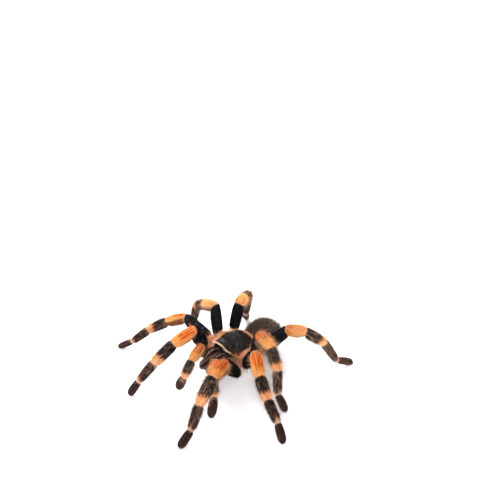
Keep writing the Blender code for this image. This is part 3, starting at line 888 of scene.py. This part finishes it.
def shield_marking(graph):
    """Black with faint brown rays, turning rusty and then peach at the rim; and the rays."""
    part, front = graph.attribute("along"), graph.attribute("front")
    ahead, left, _ = graph.parts(graph.attribute("around", "Vector"))
    rays, fine = (graph.drawn_noise(ahead, left, part, pattern) for pattern in (SHIELD_RAYS, SHIELD_FINE))
    right = graph.step(-left, 0.40, 0.72)
    edge = part + ((rays - 0.5) * 0.22 + (fine - 0.5) * 0.10) * (1.0 - 0.85 * front)
    edge = edge + graph.step(left - ahead, 0.5, 0.9) * 0.09
    edge = edge - graph.step(ahead + left, 1.0, 1.3) * 0.08 + right * 0.06
    front = front * (1.0 - 0.6 * right)
    rim = edge - front * 0.12
    wisps = graph.step(fine, 0.44, 0.58) * graph.step(part, 0.66, 0.88) * (1.0 - front)
    gaps = graph.step(1.0 - fine, 0.50, 0.62) * graph.step(edge, 0.88, 0.92) * (1.0 - front)
    colour = graph.paint(
        SHIELD_BLACK,
        (graph.step(rays, 0.50, 0.64) * 0.55, SHIELD_RAY),
        (wisps * 0.45, SHIELD_WISP),
        (graph.step(rim, 0.82, 0.86), SHIELD_RUST),
        (graph.step(rim, 0.87, 0.905), SHIELD_PEACH),
        (graph.step(rays, 0.52, 0.62) * graph.step(edge, 0.93, 0.95) * 0.7, SHIELD_PALE),
        (gaps * 0.55, SHIELD_GAP),
        (front * graph.step(part, 0.957, 0.966), SHIELD_LINE),
    )
    return colour, rays


# ---- materials -----------------------------------------------------------

def skin_material():
    made, graph, shader = material("skin", Roughness=0.7, Specular_IOR_Level=0.12)
    colour, lines, fine = body_marking(graph)
    grain = graph.grain(scale=2600.0, detail=3.0, roughness=0.6)
    dark = graph.mix(0.55, colour, NO_LIGHT)
    graph.feed(shader, Base_Color=graph.mix(graph.step(grain, 0.35, 0.7) * 0.4, dark, colour),
               Normal=graph.bump(lines + fine + grain * 0.6, strength=0.5, depth=0.12 * MM))
    return made


def shield_material():
    made, graph, shader = material("shield", Roughness=0.6, Specular_IOR_Level=0.15)
    colour, rays = shield_marking(graph)
    grain = graph.grain(scale=3000.0, detail=3.0, roughness=0.6)
    graph.feed(shader, Base_Color=graph.mix(0.3, colour, NO_LIGHT),
               Normal=graph.bump(rays + grain * 0.5, strength=0.6, depth=0.1 * MM))
    return made


def hair_material(name, marking, light, shine=0.05, roughness=0.55, tint=None):
    """Hair coloured by the marking at its root, with painted shade of the coat's depth: darker there and
    paler at its tip.
    """
    made, graph, shader = material(name, Roughness=roughness, Specular_IOR_Level=shine)
    colour = marking(graph)[0]
    tip, shade = graph.attribute("tip"), graph.attribute("shade")
    if tint is not None:
        colour = graph.mix(graph.step(tip, 0.15, 0.85) * TINT_SHARE, colour, tint)
    # painted shade: each hair darkened at its root as if the coat shaded it and paler to its tip, times a
    # tone that differs at random from tuft to tuft
    root, gain, darkest, range_up = light
    light = (root + gain * tip) * (darkest + range_up * shade)
    graph.feed(shader, Base_Color=graph.scaled(colour, light))
    return made


def clouded_material(name, dark, pale, scale, detail, clear, share, **constants):
    """A smooth hard finish with a cloud of a paler colour in it where the grain is over clear."""
    made, graph, shader = material(name, **constants)
    cloud = graph.step(graph.grain(scale, detail), clear, 0.7) * share
    graph.feed(shader, Base_Color=graph.mix(cloud, dark, pale))
    return made


# ---- the coat ------------------------------------------------------------

COAT_INPUTS = (
    # name, socket type, default
    ("Region", "NodeSocketInt", 0),
    ("Last Region", "NodeSocketInt", 0),
    ("Density", "NodeSocketFloat", 2.0e7),
    ("Shaggy", "NodeSocketFloat", 0.0),
    ("Length", "NodeSocketFloat", 1.0),
    ("Width", "NodeSocketFloat", 0.0001),
    ("Lift", "NodeSocketFloat", 0.5),
    ("Spread", "NodeSocketFloat", 0.25),
    ("Curl", "NodeSocketFloat", 0.15),
    ("Segments", "NodeSocketInt", 1),
    ("Seed", "NodeSocketInt", 0),
    ("Material", "NodeSocketMaterial", None),
)

# The bake map: how far it runs across and up, the size of one tuft in it and its corner
MAP_RUN = (0.994, 0.140)
MAP_TUFT = 0.003
MAP_CORNER = (0.001, 0.004)


def coat_tree():
    """Tufts scattered over a skin, each a thin closed spike that leans along the lie."""
    if "Coat" in bpy.data.node_groups:
        return bpy.data.node_groups["Coat"]
    tree = bpy.data.node_groups.new("Coat", "GeometryNodeTree")
    tree.interface.new_socket("Geometry", in_out="INPUT", socket_type="NodeSocketGeometry")
    for name, kind, default in COAT_INPUTS:
        socket = tree.interface.new_socket(name, in_out="INPUT", socket_type=kind)
        if default is not None:
            socket.default_value = default
    tree.interface.new_socket("Geometry", in_out="OUTPUT", socket_type="NodeSocketGeometry")
    graph = Graph(tree)
    source = tree.nodes.new("NodeGroupInput")
    given = {socket.name: Wire(graph, socket) for socket in source.outputs if socket.name}

    def named(name, kind="FLOAT"):
        return graph.add("GeometryNodeInputNamedAttribute", {"data_type": kind}, {"Name": name})

    def random(low, high, seed):
        return graph.add("FunctionNodeRandomValue", {"data_type": "FLOAT"},
                         {"Min_001": low, "Max_001": high, "Seed": given["Seed"] + seed}, output="Value_001")

    def compared(operation, first, second):
        return graph.add("FunctionNodeCompare", {"data_type": "INT", "operation": operation},
                         {"A_INT": first, "B_INT": second})

    def stored(geometry, name, value, kind="FLOAT", domain="POINT"):
        return graph.add("GeometryNodeStoreNamedAttribute", {"data_type": kind, "domain": domain},
                         {"Geometry": geometry, "Name": name, "Value": value})

    def moved(geometry, place):
        return graph.add("GeometryNodeSetPosition", None, {"Geometry": geometry, "Position": place})

    # one tuft: a three-sided spike, one unit long, that bends towards -Y
    spike = graph.add("GeometryNodeMeshCone", {"fill_type": "NGON"},
                      {"Vertices": 3, "Side Segments": given["Segments"], "Radius Bottom": 1.0, "Depth": 1.0})
    x, y, z = graph.parts(graph.add("GeometryNodeInputPosition"))
    spike = stored(spike, "tip", z)
    spike = stored(spike, "patch", graph.vector(x * 0.5 + 0.5, z, 0.0), "FLOAT_VECTOR")
    spike = moved(spike, graph.vector(x, y * 0.55 - given["Curl"] * z * z, z))

    # roots
    region = named("region", "INT")
    chosen = graph.add("FunctionNodeBooleanMath", {"operation": "AND"},
                       [compared("GREATER_EQUAL", region, given["Region"]),
                        compared("LESS_EQUAL", region, given["Last Region"])])
    thick = given["Density"] * named("cover") * (1.0 - given["Shaggy"] + given["Shaggy"] * named("shaggy"))
    points = graph.add("GeometryNodeDistributePointsOnFaces", None,
                       {"Mesh": given["Geometry"], "Selection": chosen, "Density": thick,
                        "Seed": given["Seed"]}, output="Points")
    normal = graph.beside(points, "Normal")

    # each tuft leans along the lie of the coat
    lean = given["Lift"] + random(-0.5, 0.5, 1) * given["Spread"]
    lie = named("lie", "FLOAT_VECTOR")
    sideways = graph.vector_math("CROSS_PRODUCT", lie, normal)
    ahead = graph.vector_math("ADD", graph.scaled(lie, graph.math("COSINE", lean)),
                              graph.scaled(normal, graph.math("SINE", lean)))
    ahead = graph.vector_math("ADD", ahead, graph.scaled(sideways, random(-1.0, 1.0, 2) * given["Spread"]))
    turn = graph.add("FunctionNodeAxesToRotation", {"primary_axis": "Z", "secondary_axis": "Y"},
                     {"Primary Axis": ahead, "Secondary Axis": normal})
    length = named("hair") * given["Length"] * random(0.72, 1.22, 3)
    width = given["Width"] * random(0.75, 1.25, 4)
    points = stored(points, "shade", random(0.0, 1.0, 5))
    tufts = graph.add("GeometryNodeInstanceOnPoints", None,
                      {"Points": points, "Instance": spike, "Rotation": turn,
                       "Scale": graph.vector(width, width, length)})
    tufts = graph.add("GeometryNodeRealizeInstances", None, {"Geometry": tufts})

    # nothing goes through the floor
    x, y, z = graph.parts(graph.add("GeometryNodeInputPosition"))
    tufts = moved(tufts, graph.vector(x, y, graph.math("MAXIMUM", z, FLOOR_GAP * MM)))

    # the bake map: an unwrap of each limb or body by its turn and length
    side, up, _ = graph.parts(named("around", "FLOAT_VECTOR"))
    count = given["Last Region"] - given["Region"] + 1.0
    turned = graph.math("ARCTAN2", up, side) / FULL_TURN
    across = (named("region") - given["Region"] + turned + 0.5) / count
    patch_x, patch_y, _ = graph.parts(named("patch", "FLOAT_VECTOR"))
    map_x = across * MAP_RUN[0] + patch_x * MAP_TUFT + MAP_CORNER[0]
    map_y = named("along") * MAP_RUN[1] + patch_y * MAP_TUFT + MAP_CORNER[1]
    tufts = stored(tufts, "OFBake", graph.vector(map_x, map_y, 0.0), "FLOAT2", "CORNER")
    for name in ("patch", "lie", "cover", "shaggy", "hair", "region"):
        tufts = graph.add("GeometryNodeRemoveAttribute", None, {"Geometry": tufts, "Name": name})
    tufts = graph.add("GeometryNodeSetMaterial", None, {"Geometry": tufts, "Material": given["Material"]})
    graph.feed(tree.nodes.new("NodeGroupOutput"), Geometry=tufts)
    return tree


def grow_coat(name, source, regions, hair, slot, tuft, **given):
    """One coat piece of a kind of tuft, from the first to the last of some regions of a skin."""
    tree = coat_tree()
    identifiers = {item.name: item.identifier for item in tree.interface.items_tree if item.in_out == "INPUT"}
    values = {**dict(zip(TUFT_VALUES, TUFTS[tuft])), **given, "Region": regions[0],
              "Last Region": regions[-1], "Material": hair,
              "Seed": settings("coat").seed + SEED_STEPS.get(name, regions[0])}
    piece = new_piece(name, source.data)
    modifier = piece.modifiers.new("Coat", "NODES")
    modifier.node_group = tree
    for key, value in values.items():
        modifier[identifiers[key]] = value
    applied(piece)
    if not piece.data.polygons:
        raise RuntimeError(f"{name} grew no tufts")
    piece.data.shade_flat()
    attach(piece, "root")
    return piece


def numbers_of(regions):
    return [REGIONS.index(region) for region in regions]


# ---- the flesh -----------------------------------------------------------

def limb_flesh(limb, pinch):
    """Places and faces of a limb's flesh, and the place, turn and lie at each place."""
    tube = Tube(*drop_repeats(*limb_rings(limb)), COAT_DEPTH, pinch=pinch)
    corners = len(tube.turns)
    turns = np.tile(tube.turns, len(tube.along))
    around = np.stack([np.cos(turns), np.sin(turns), 0 * turns], axis=1)
    return (tube.places.reshape(-1, 3), tube.faces(0), np.repeat(tube.along, corners), around,
            np.repeat(tube.tangent, corners, axis=0))


def solid_flesh(node, inset, zone, backward):
    """The same for one of the body's solids; a jaw's hair runs forward and the rest backward."""
    places, faces = rounded_solid(node, inset)
    forward = (places - places.mean(axis=0)) @ -backward
    part = (forward - forward.min()) / (forward.max() - forward.min())
    local = off_body(places)
    centre = (local.max(axis=0) + local.min(axis=0)) / 2.0
    left, up = local[:, 0] - centre[0], local[:, 2] - centre[2]
    along, lie = 7.0 * (1.0 - part), backward
    if zone == JAW_ZONE:
        up = up + JAW_BROW * np.maximum(forward - forward.mean(), 0.0)
        along, lie = 7.0 * part, -backward
    return places, faces, along, unit(np.stack([left, up, 0 * up], axis=1)), lie


def flank_flesh(backward):
    """The same for the flank between the shield and the hips."""
    turns = np.linspace(0.0, FULL_TURN, FLANK_CORNERS, endpoint=False)
    forward, left = rim_outline(turns)
    jut = FLANK_JUT * smooth_step((forward - 5.0) / 3.0)
    rows = [on_body(part * (forward - FLANK_SET_BACK) + jut, part * left,
                    up + 0.85 * rim_rise(forward, left) * (up + 4.2) / 3.45) for up, part in FLANK_LEVELS]
    levels = len(FLANK_LEVELS)
    here = np.arange(FLANK_CORNERS)
    faces = walls(levels, FLANK_CORNERS, 0, flipped=True)
    faces += [here.tolist(), (here[::-1] + (levels - 1) * FLANK_CORNERS).tolist()]
    around = np.tile(np.stack([np.sin(turns), np.cos(turns), 0 * turns], axis=1), (levels, 1))
    along = np.tile(np.where(forward > 6.0, 2.3, 0.6), levels)
    return np.vstack(rows), faces, along, around, backward


def all_flesh(pinch):
    """Faces of every shell of flesh, and its places with what the coat needs at each."""
    faces = []
    samples = {key: [] for key in ("place", "along", "around", "lie", "region", "zone")}

    def add(region, zone, flesh):
        places, polygons, along, around, lie = flesh
        first, count = sum(map(len, samples["place"])), len(places)
        faces.extend([[index + first for index in polygon] for polygon in polygons])
        values = (places, along, around, np.broadcast_to(lie, (count, 3)),
                  np.full(count, REGIONS.index(region)), np.full(count, zone))
        for rows, value in zip(samples.values(), values):
            rows.append(value)

    for limb in LIMBS:
        add(limb, LIMB_ZONE, limb_flesh(limb, pinch))
    backward = on_body(-1.0, 0.0, 0.0) - on_body(0.0, 0.0, 0.0)
    for node, inset, zone in FLESH:
        add(node, zone, solid_flesh(node, inset, zone, backward))
    add("flank", LIMB_ZONE, flank_flesh(backward))
    return faces, {key: np.concatenate(value) for key, value in samples.items()}


def spread_values(mesh, samples):
    """Give each corner of the skin the values of the sample places round it."""
    tree = kdtree.KDTree(len(samples["place"]))
    for index, place in enumerate(samples["place"]):
        tree.insert(place, index)
    tree.balance()
    places = places_of(mesh)
    chosen = np.empty((len(places), NEIGHBOURS), int)
    weights = np.empty((len(places), NEIGHBOURS))
    for row, place in enumerate(places):
        found = tree.find_n(place, NEIGHBOURS)
        chosen[row] = [item[1] for item in found]
        weights[row] = [1.0 / (item[2] + 0.02) ** 2 for item in found]
    region = samples["region"][chosen[:, 0]]
    zone = samples["zone"][chosen[:, 0]]
    weights = weights * (samples["region"][chosen] == region[:, None])
    weights = weights / weights.sum(axis=1, keepdims=True)
    along = (samples["along"][chosen] * weights).sum(axis=1)
    around, lie = ((samples[key][chosen] * weights[..., None]).sum(axis=1) for key in ("around", "lie"))
    hair = table_at(along, HAIR_LENGTH)
    for number, length in ZONE_HAIR:
        hair = np.where(zone == number, length, hair)
    cover = np.ones(len(places))
    for joint in (TIBIA, METATARSUS, TARSUS):
        bare = THINNING * np.exp(-((along - joint - 0.01) / THINNING_LENGTH) ** 2)
        cover = np.where(zone == LIMB_ZONE, cover - bare, cover)

    def by_region(table, other):
        return np.array([table.get(name, other) for name in REGIONS])[region]

    set_values(mesh, along=along, around=unit(around), lie=laid(lie, normals_of(mesh), 1e-6), zone=zone,
               shaggy=table_at(along, SHAGGY) * by_region(SHAGGIEST, 1.0), faded=by_region(FADED, 0.0),
               hip=by_region(HIP_TUFTS, 0.0), hair=hair * MM, cover=np.clip(cover, 0.0, 1.0))
    corners = read_values(mesh.loops, "vertex_index", kind=int)
    starts = read_values(mesh.polygons, "loop_start", kind=int)
    set_values(mesh, "FACE", region=region[corners[starts]].astype("i"))


# ---- operators -----------------------------------------------------------

class TARANTULA_OT_skin(bpy.types.Operator):
    """Grow one skin over every limb, the abdomen, the jaws and the underside"""

    bl_idname = "tarantula.skin"
    bl_label = "Grow Skin"
    most_faces = 99000

    def execute(self, context):
        look = settings("skin")
        faces, samples = all_flesh(look.joint_pinch / MM)
        # the remesh works in millimetres, so the mesh is made a thousand times too large
        piece = new_piece("skin", mesh_of("skin", samples["place"] / MM, faces))
        outward(piece.data)
        remesh = piece.modifiers.new("Remesh", "REMESH")
        remesh.mode = "VOXEL"
        remesh.voxel_size = look.voxel / MM
        soften = piece.modifiers.new("Soften", "SMOOTH")
        soften.factor = 0.5
        soften.iterations = look.smoothing
        applied(piece)
        piece.data.transform(Matrix.Scale(MM, 4))
        piece.data.shade_smooth()
        if len(piece.data.polygons) > self.most_faces:
            raise RuntimeError(f"the skin has {len(piece.data.polygons)} faces")
        spread_values(piece.data, samples)
        piece.data.materials.append(skin_material())
        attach(piece, "root")
        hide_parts(*[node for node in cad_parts
                             if node != "carapace" and not node.startswith(("eye", "fang"))])
        return {"FINISHED"}


class TARANTULA_OT_shield(bpy.types.Operator):
    """Shape the domed shield of the back with its pit, furrows and eye turret"""

    bl_idname = "tarantula.shield"
    bl_label = "Shape Shield"

    def execute(self, context):
        turns = np.linspace(0.0, FULL_TURN, SHIELD_CORNERS, endpoint=False)
        mesh = self.mesh(turns)
        piece = new_piece("shield", mesh)
        self.mark(mesh, turns)
        mesh.materials.append(shield_material())
        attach(piece, "root")
        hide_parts("carapace")
        return {"FINISHED"}

    def shares(self):
        """How far out from crown to rim each ring of the upper side lies."""
        return [(ring / SHIELD_RINGS) ** 0.85 for ring in range(1, SHIELD_RINGS + 1)]

    def mesh(self, turns):
        """Rings from the crown out to the rim and back under its lip, closed at both ends."""
        rim_forward, rim_left = rim_outline(turns)
        rows = []
        for part, up in [(part, None) for part in self.shares()] + [(part, up) for up, part in SHIELD_LIP]:
            forward, left = SHIELD_CROWN + (rim_forward - SHIELD_CROWN) * part, rim_left * part
            height = shield_top(forward, left, part) if up is None else rim_rise(forward, left) + up
            rows.append(on_body(forward - SHIELD_SET_BACK, left, height))
        back = SHIELD_CROWN - SHIELD_SET_BACK
        top = on_body(back, 0.0, dome(SHIELD_CROWN, 0.0, 0.0) - SHIELD_SUNK)
        under = on_body(back, 0.0, -0.5)
        mesh = mesh_of("shield", np.vstack([top[None], *rows, under[None]]),
                       closed(len(rows), SHIELD_CORNERS))
        outward(mesh)
        return mesh

    def mark(self, mesh, turns):
        """Give the shield's corners the values that its colours and its hair read."""
        lips = len(SHIELD_LIP)
        part = np.concatenate([[0.0], np.repeat(self.shares() + [1.0] * lips, SHIELD_CORNERS), [1.0]])
        turn = np.concatenate([[0.0], np.tile(turns, SHIELD_RINGS + lips), [0.0]])
        is_top = np.concatenate([[1.0], np.repeat([1.0] * SHIELD_RINGS + [0.0] * lips, SHIELD_CORNERS),
                                 [0.0]])
        local = off_body(places_of(mesh))
        forward, left = -local[:, 1], local[:, 0]
        outwards = np.stack([left, -(forward - PIT_FORWARD), 0 * left], axis=1)
        lie = unit(outwards + np.array([0.0, 1e-3, 0.0])) @ BODY_TURN.T
        front = smooth_step((forward - 5.6) / 1.6)
        bare = smooth_step(turret(forward + SHIELD_SET_BACK, left) / 0.4)
        set_values(mesh, along=part, around=np.stack([np.cos(turn), np.sin(turn), 0 * turn], axis=1),
                   lie=laid(lie, normals_of(mesh)), hair=(1.0 - 0.4 * front) * MM, front=front,
                   cover=is_top * (1.0 - 0.9 * bare),
                   fringe=is_top * smooth_step((part - 0.90) / 0.06) * (1.0 - 0.8 * front))
        set_values(mesh, "FACE", region=np.zeros(len(mesh.polygons), "i"))


class TARANTULA_OT_shield_coat(bpy.types.Operator):
    """Grow the short pile of the shield and the fringe round its rim"""

    bl_idname = "tarantula.shield_coat"
    bl_label = "Grow Shield Coat"

    def execute(self, context):
        shield = bpy.data.objects["shield"]
        hair = hair_material("shield_hair", shield_marking, SHIELD_SHADE_AND_TONE, shine=0.12)
        grow_coat("shield_pile", shield, [0], hair, "carapace_velvet", "shield_pile")
        fringe = shield.data.copy()
        fringe.name = "fringe"
        fringe.attributes["cover"].data.foreach_set("value",
                                                    read_values(fringe.attributes["fringe"].data, "value"))
        ground = new_piece("fringe_ground", fringe)
        grow_coat("shield_fringe", ground, [0], hair, "carapace_velvet", "shield_fringe")
        bpy.data.objects.remove(ground)
        return {"FINISHED"}


class TARANTULA_OT_eyes(bpy.types.Operator):
    """Make the eight eyes as clear dark lenses"""

    bl_idname = "tarantula.eyes"
    bl_label = "Make Eyes"

    def execute(self, context):
        lens = clouded_material("eye_lens", EYE_DARK, EYE_HAZE, scale=1500.0, detail=2.0, clear=0.4,
                                share=0.5, Roughness=0.06, Coat_Weight=1.0, Coat_Roughness=0.03)
        places, faces = ball(LENS_RINGS, LENS_CORNERS)
        for node in [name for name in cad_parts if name.startswith("eye_")]:
            low, high = np.array(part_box(node)) / MM
            mesh = mesh_of(node + "_lens", (low + high) / 2.0 + places * (high - low)[0] / 2.0, faces)
            outward(mesh)
            mesh.materials.append(lens)
            piece = new_piece(node + "_lens", mesh)
            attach(piece, "root")
            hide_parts(node)
        return {"FINISHED"}


class TARANTULA_OT_fangs(bpy.types.Operator):
    """Make the two fangs and the pair of claws on each foot"""

    bl_idname = "tarantula.fangs"
    bl_label = "Make Fangs and Claws"

    def execute(self, context):
        horn = clouded_material("horn", HORN_DARK, HORN_BROWN, scale=900.0, detail=3.0, clear=0.35,
                                share=1.0, Roughness=0.28, Specular_IOR_Level=0.3, Coat_Weight=0.15,
                                Coat_Roughness=0.2)
        for side in SIDES:
            name = f"fang_{side}_horn"
            tube = self.fang(joined_solid(f"fang_{side}")[0])
            piece = self.horn_piece(name, tube.places.reshape(-1, 3), tube.faces(0), horn)
            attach(piece, "root")
            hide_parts(f"fang_{side}")
        places, faces = [], []
        for leg in LEGS:
            for side in (-1.0, 1.0):
                tube = self.claw(limb_rings(leg)[0], side)
                faces.extend(tube.faces(sum(map(len, places))))
                places.append(tube.places.reshape(-1, 3))
        piece = self.horn_piece("claws", np.vstack(places), faces, horn)
        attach(piece, "root")
        return {"FINISHED"}

    def horn_piece(self, name, places, faces, horn):
        mesh = mesh_of(name, places, faces)
        outward(mesh)
        mesh.materials.append(horn)
        return new_piece(name, mesh)

    def fang(self, places):
        """A curved cone through the rings of a fang's solid."""
        order = np.argsort(off_body(places)[:, 1])
        rings = [places[ring] for ring in np.array_split(order, len(order) // SIDES_ROUND)]
        centres = np.array([ring.mean(axis=0) for ring in rings])
        sizes = np.array([np.linalg.norm(ring - ring.mean(axis=0), axis=1).mean() for ring in rings])
        sizes[-1] = FANG_TIP
        ahead = unit(np.gradient(centres, axis=0))
        across = unit(np.cross(ahead, BODY_TURN @ np.array([0.0, 0.0, 1.0])))
        rows = np.hstack([centres, across * sizes[:, None], np.cross(across, ahead) * sizes[:, None]])
        fatter = ((0.0, -0.02), (1.0, 0.0))
        return Tube(rows, np.linspace(0.0, 1.0, len(rows)), fatter, step=0.12, corners=20)

    def claw(self, rings, side):
        """A small hook at the tip of a foot that curves ahead and down."""
        tip = rings[-1]
        ahead = unit(tip[:3] - rings[-3][:3])
        across, above = unit(tip[3:6]), unit(tip[6:9])
        t = np.linspace(0.0, 1.0, 8)[:, None]
        centres = (tip[:3] + across * side * (CLAW_APART[0] + CLAW_APART[1] * t)
                   + ahead * (CLAW_AHEAD[0] + CLAW_AHEAD[1] * t + CLAW_AHEAD[2] * t ** 2)
                   - above * (CLAW_DOWN[0] + CLAW_DOWN[1] * t ** 2))
        centres[:, 2] = np.maximum(centres[:, 2], CLAW_LEAST_HEIGHT)
        size = CLAW_ROOT * (1.0 - t) + CLAW_TIP
        forward = unit(np.gradient(centres, axis=0))
        out = unit(across - forward * (forward @ across)[:, None])
        rows = np.hstack([centres, out * size, np.cross(out, forward) * size])
        tube = Tube(rows, t[:, 0], ((0.0, 0.0), (1.0, 0.0)), step=0.1, corners=8)
        tube.places[..., 2] = np.maximum(tube.places[..., 2], FLOOR_GAP)
        return tube


class TARANTULA_OT_limb_coats(bpy.types.Operator):
    """Grow the velvet of each leg and palp, and the long bristles that stand out of it"""

    bl_idname = "tarantula.limb_coats"
    bl_label = "Grow Limb Coats"

    def execute(self, context):
        skin = bpy.data.objects["skin"]
        look = settings("coat")
        hair = hair_material("limb_hair", body_marking, COAT_SHADE_AND_TONE)
        for limb in LIMBS:
            slot = "orange_red_hair" if limb.endswith("left") else "banded_brown_hair"
            grow_coat(f"coat_{limb}", skin, numbers_of([limb]), hair, slot, "velvet",
                      Density=look.density / MM ** 2, Width=look.width)
        bristle = hair_material("limb_bristle", body_marking, COAT_SHADE_AND_TONE, roughness=0.4, tint=LIMB_TIP)
        for name, limbs, tuft in (("bristles_legs_left", LEGS[:4], "leg_bristle"),
                                  ("bristles_legs_right", LEGS[4:], "leg_bristle"),
                                  ("bristles_palps", PALPS, "palp_bristle")):
            grow_coat(name, skin, numbers_of(limbs), bristle, "banded_brown_hair", tuft,
                      Density=look.bristles / MM ** 2, Shaggy=1.0)
        return {"FINISHED"}


class TARANTULA_OT_body_coats(bpy.types.Operator):
    """Grow the coat of the abdomen, the jaws and the underside"""

    bl_idname = "tarantula.body_coats"
    bl_label = "Grow Body Coats"

    def execute(self, context):
        skin = bpy.data.objects["skin"]
        hair = hair_material("body_hair", body_marking, COAT_SHADE_AND_TONE)
        bristle = hair_material("abdomen_bristle", body_marking, COAT_SHADE_AND_TONE, roughness=0.4, tint=ABDOMEN_TIP)
        for name, regions, finish, tuft in (
                ("coat_abdomen", ["abdomen"], hair, "abdomen_pile"),
                ("bristles_abdomen", ["abdomen"], bristle, "abdomen_bristle"),
                ("coat_jaws", JAWS, hair, "jaw_pile"),
                ("coat_underside", UNDERSIDE, hair, "underside_pile")):
            grow_coat(name, skin, numbers_of(regions), finish, "dark_brown_hair", tuft)
        return {"FINISHED"}


class TARANTULA_OT_stage(bpy.types.Operator):
    """Set the pale floor, the soft lights and the camera"""

    bl_idname = "tarantula.stage"
    bl_label = "Set Stage"

    def execute(self, context):
        look = settings("stage")
        scene = context.scene
        bm = bmesh.new()
        bmesh.ops.create_grid(bm, x_segments=1, y_segments=1, size=FLOOR_HALF)
        mesh = bpy.data.meshes.new("floor")
        bm.to_mesh(mesh)
        bm.free()
        floor = new_piece("floor", mesh)
        mesh.materials.append(material("floor", Base_Color=(0.94, 0.925, 0.965, 1.0), Roughness=0.9)[0])
        world = bpy.data.worlds.new("studio")
        world.use_nodes = True
        background = world.node_tree.nodes["Background"]
        background.inputs["Color"].default_value = (1.0, 1.0, 1.0, 1.0)
        background.inputs["Strength"].default_value = look.world_light
        scene.world = world
        for name, way, share in LIGHTS:
            light = bpy.data.lights.new(name, "SUN")
            light.energy = look.sun_strength * share
            light.angle = look.sun_softness
            lamp = bpy.data.objects.new(name, light)
            lamp.rotation_euler = (-Vector(way)).to_track_quat("-Z", "Y").to_euler()
            scene.collection.objects.link(lamp)
        data = bpy.data.cameras.new("camera")
        data.sensor_width = 36.0
        data.lens = CAMERA_LENS
        data.clip_start = 0.01
        camera = bpy.data.objects.new("camera", data)
        camera.location = Vector(BODY_MIDDLE) * MM + Vector(CAMERA_OFFSET)
        camera.rotation_euler = CAMERA_TURN
        scene.collection.objects.link(camera)
        scene.camera = camera
        scene.view_settings.view_transform = "Standard"
        return {"FINISHED"}


class TARANTULA_PT_panel(bpy.types.Panel):
    bl_label = "Tarantula"
    bl_idname = "TARANTULA_PT_panel"
    bl_space_type = "VIEW_3D"
    bl_region_type = "UI"
    bl_category = "Tarantula"

    def draw(self, context):
        for kind, group in GROUPS.items():
            box = self.layout.box()
            for name in group.__annotations__:
                box.prop(getattr(context.scene, kind), name)
        for operator in OPERATORS:
            self.layout.operator(operator.bl_idname)


GROUPS = {
    "tarantula_skin": TarantulaSkinSettings,
    "tarantula_coat": TarantulaCoatSettings,
    "tarantula_colours": TarantulaColourSettings,
    "tarantula_stage": TarantulaStageSettings,
}
OPERATORS = (
    TARANTULA_OT_skin,
    TARANTULA_OT_shield,
    TARANTULA_OT_eyes,
    TARANTULA_OT_fangs,
    TARANTULA_OT_limb_coats,
    TARANTULA_OT_body_coats,
    TARANTULA_OT_shield_coat,
    TARANTULA_OT_stage,
)


def register():
    for group in (*GROUPS.values(), *OPERATORS, TARANTULA_PT_panel):
        bpy.utils.register_class(group)
    for name, group in GROUPS.items():
        setattr(bpy.types.Scene, name, bpy.props.PointerProperty(type=group))


def unregister():
    for name in GROUPS:
        delattr(bpy.types.Scene, name)
    for group in (TARANTULA_PT_panel, *reversed(OPERATORS), *GROUPS.values()):
        bpy.utils.unregister_class(group)


def main():
    register()
    bpy.ops.tarantula.skin()
    bpy.ops.tarantula.shield()
    bpy.ops.tarantula.eyes()
    bpy.ops.tarantula.fangs()
    bpy.ops.tarantula.limb_coats()
    bpy.ops.tarantula.body_coats()
    bpy.ops.tarantula.shield_coat()
    bpy.ops.tarantula.stage()


if __name__ == "__main__":
    main()
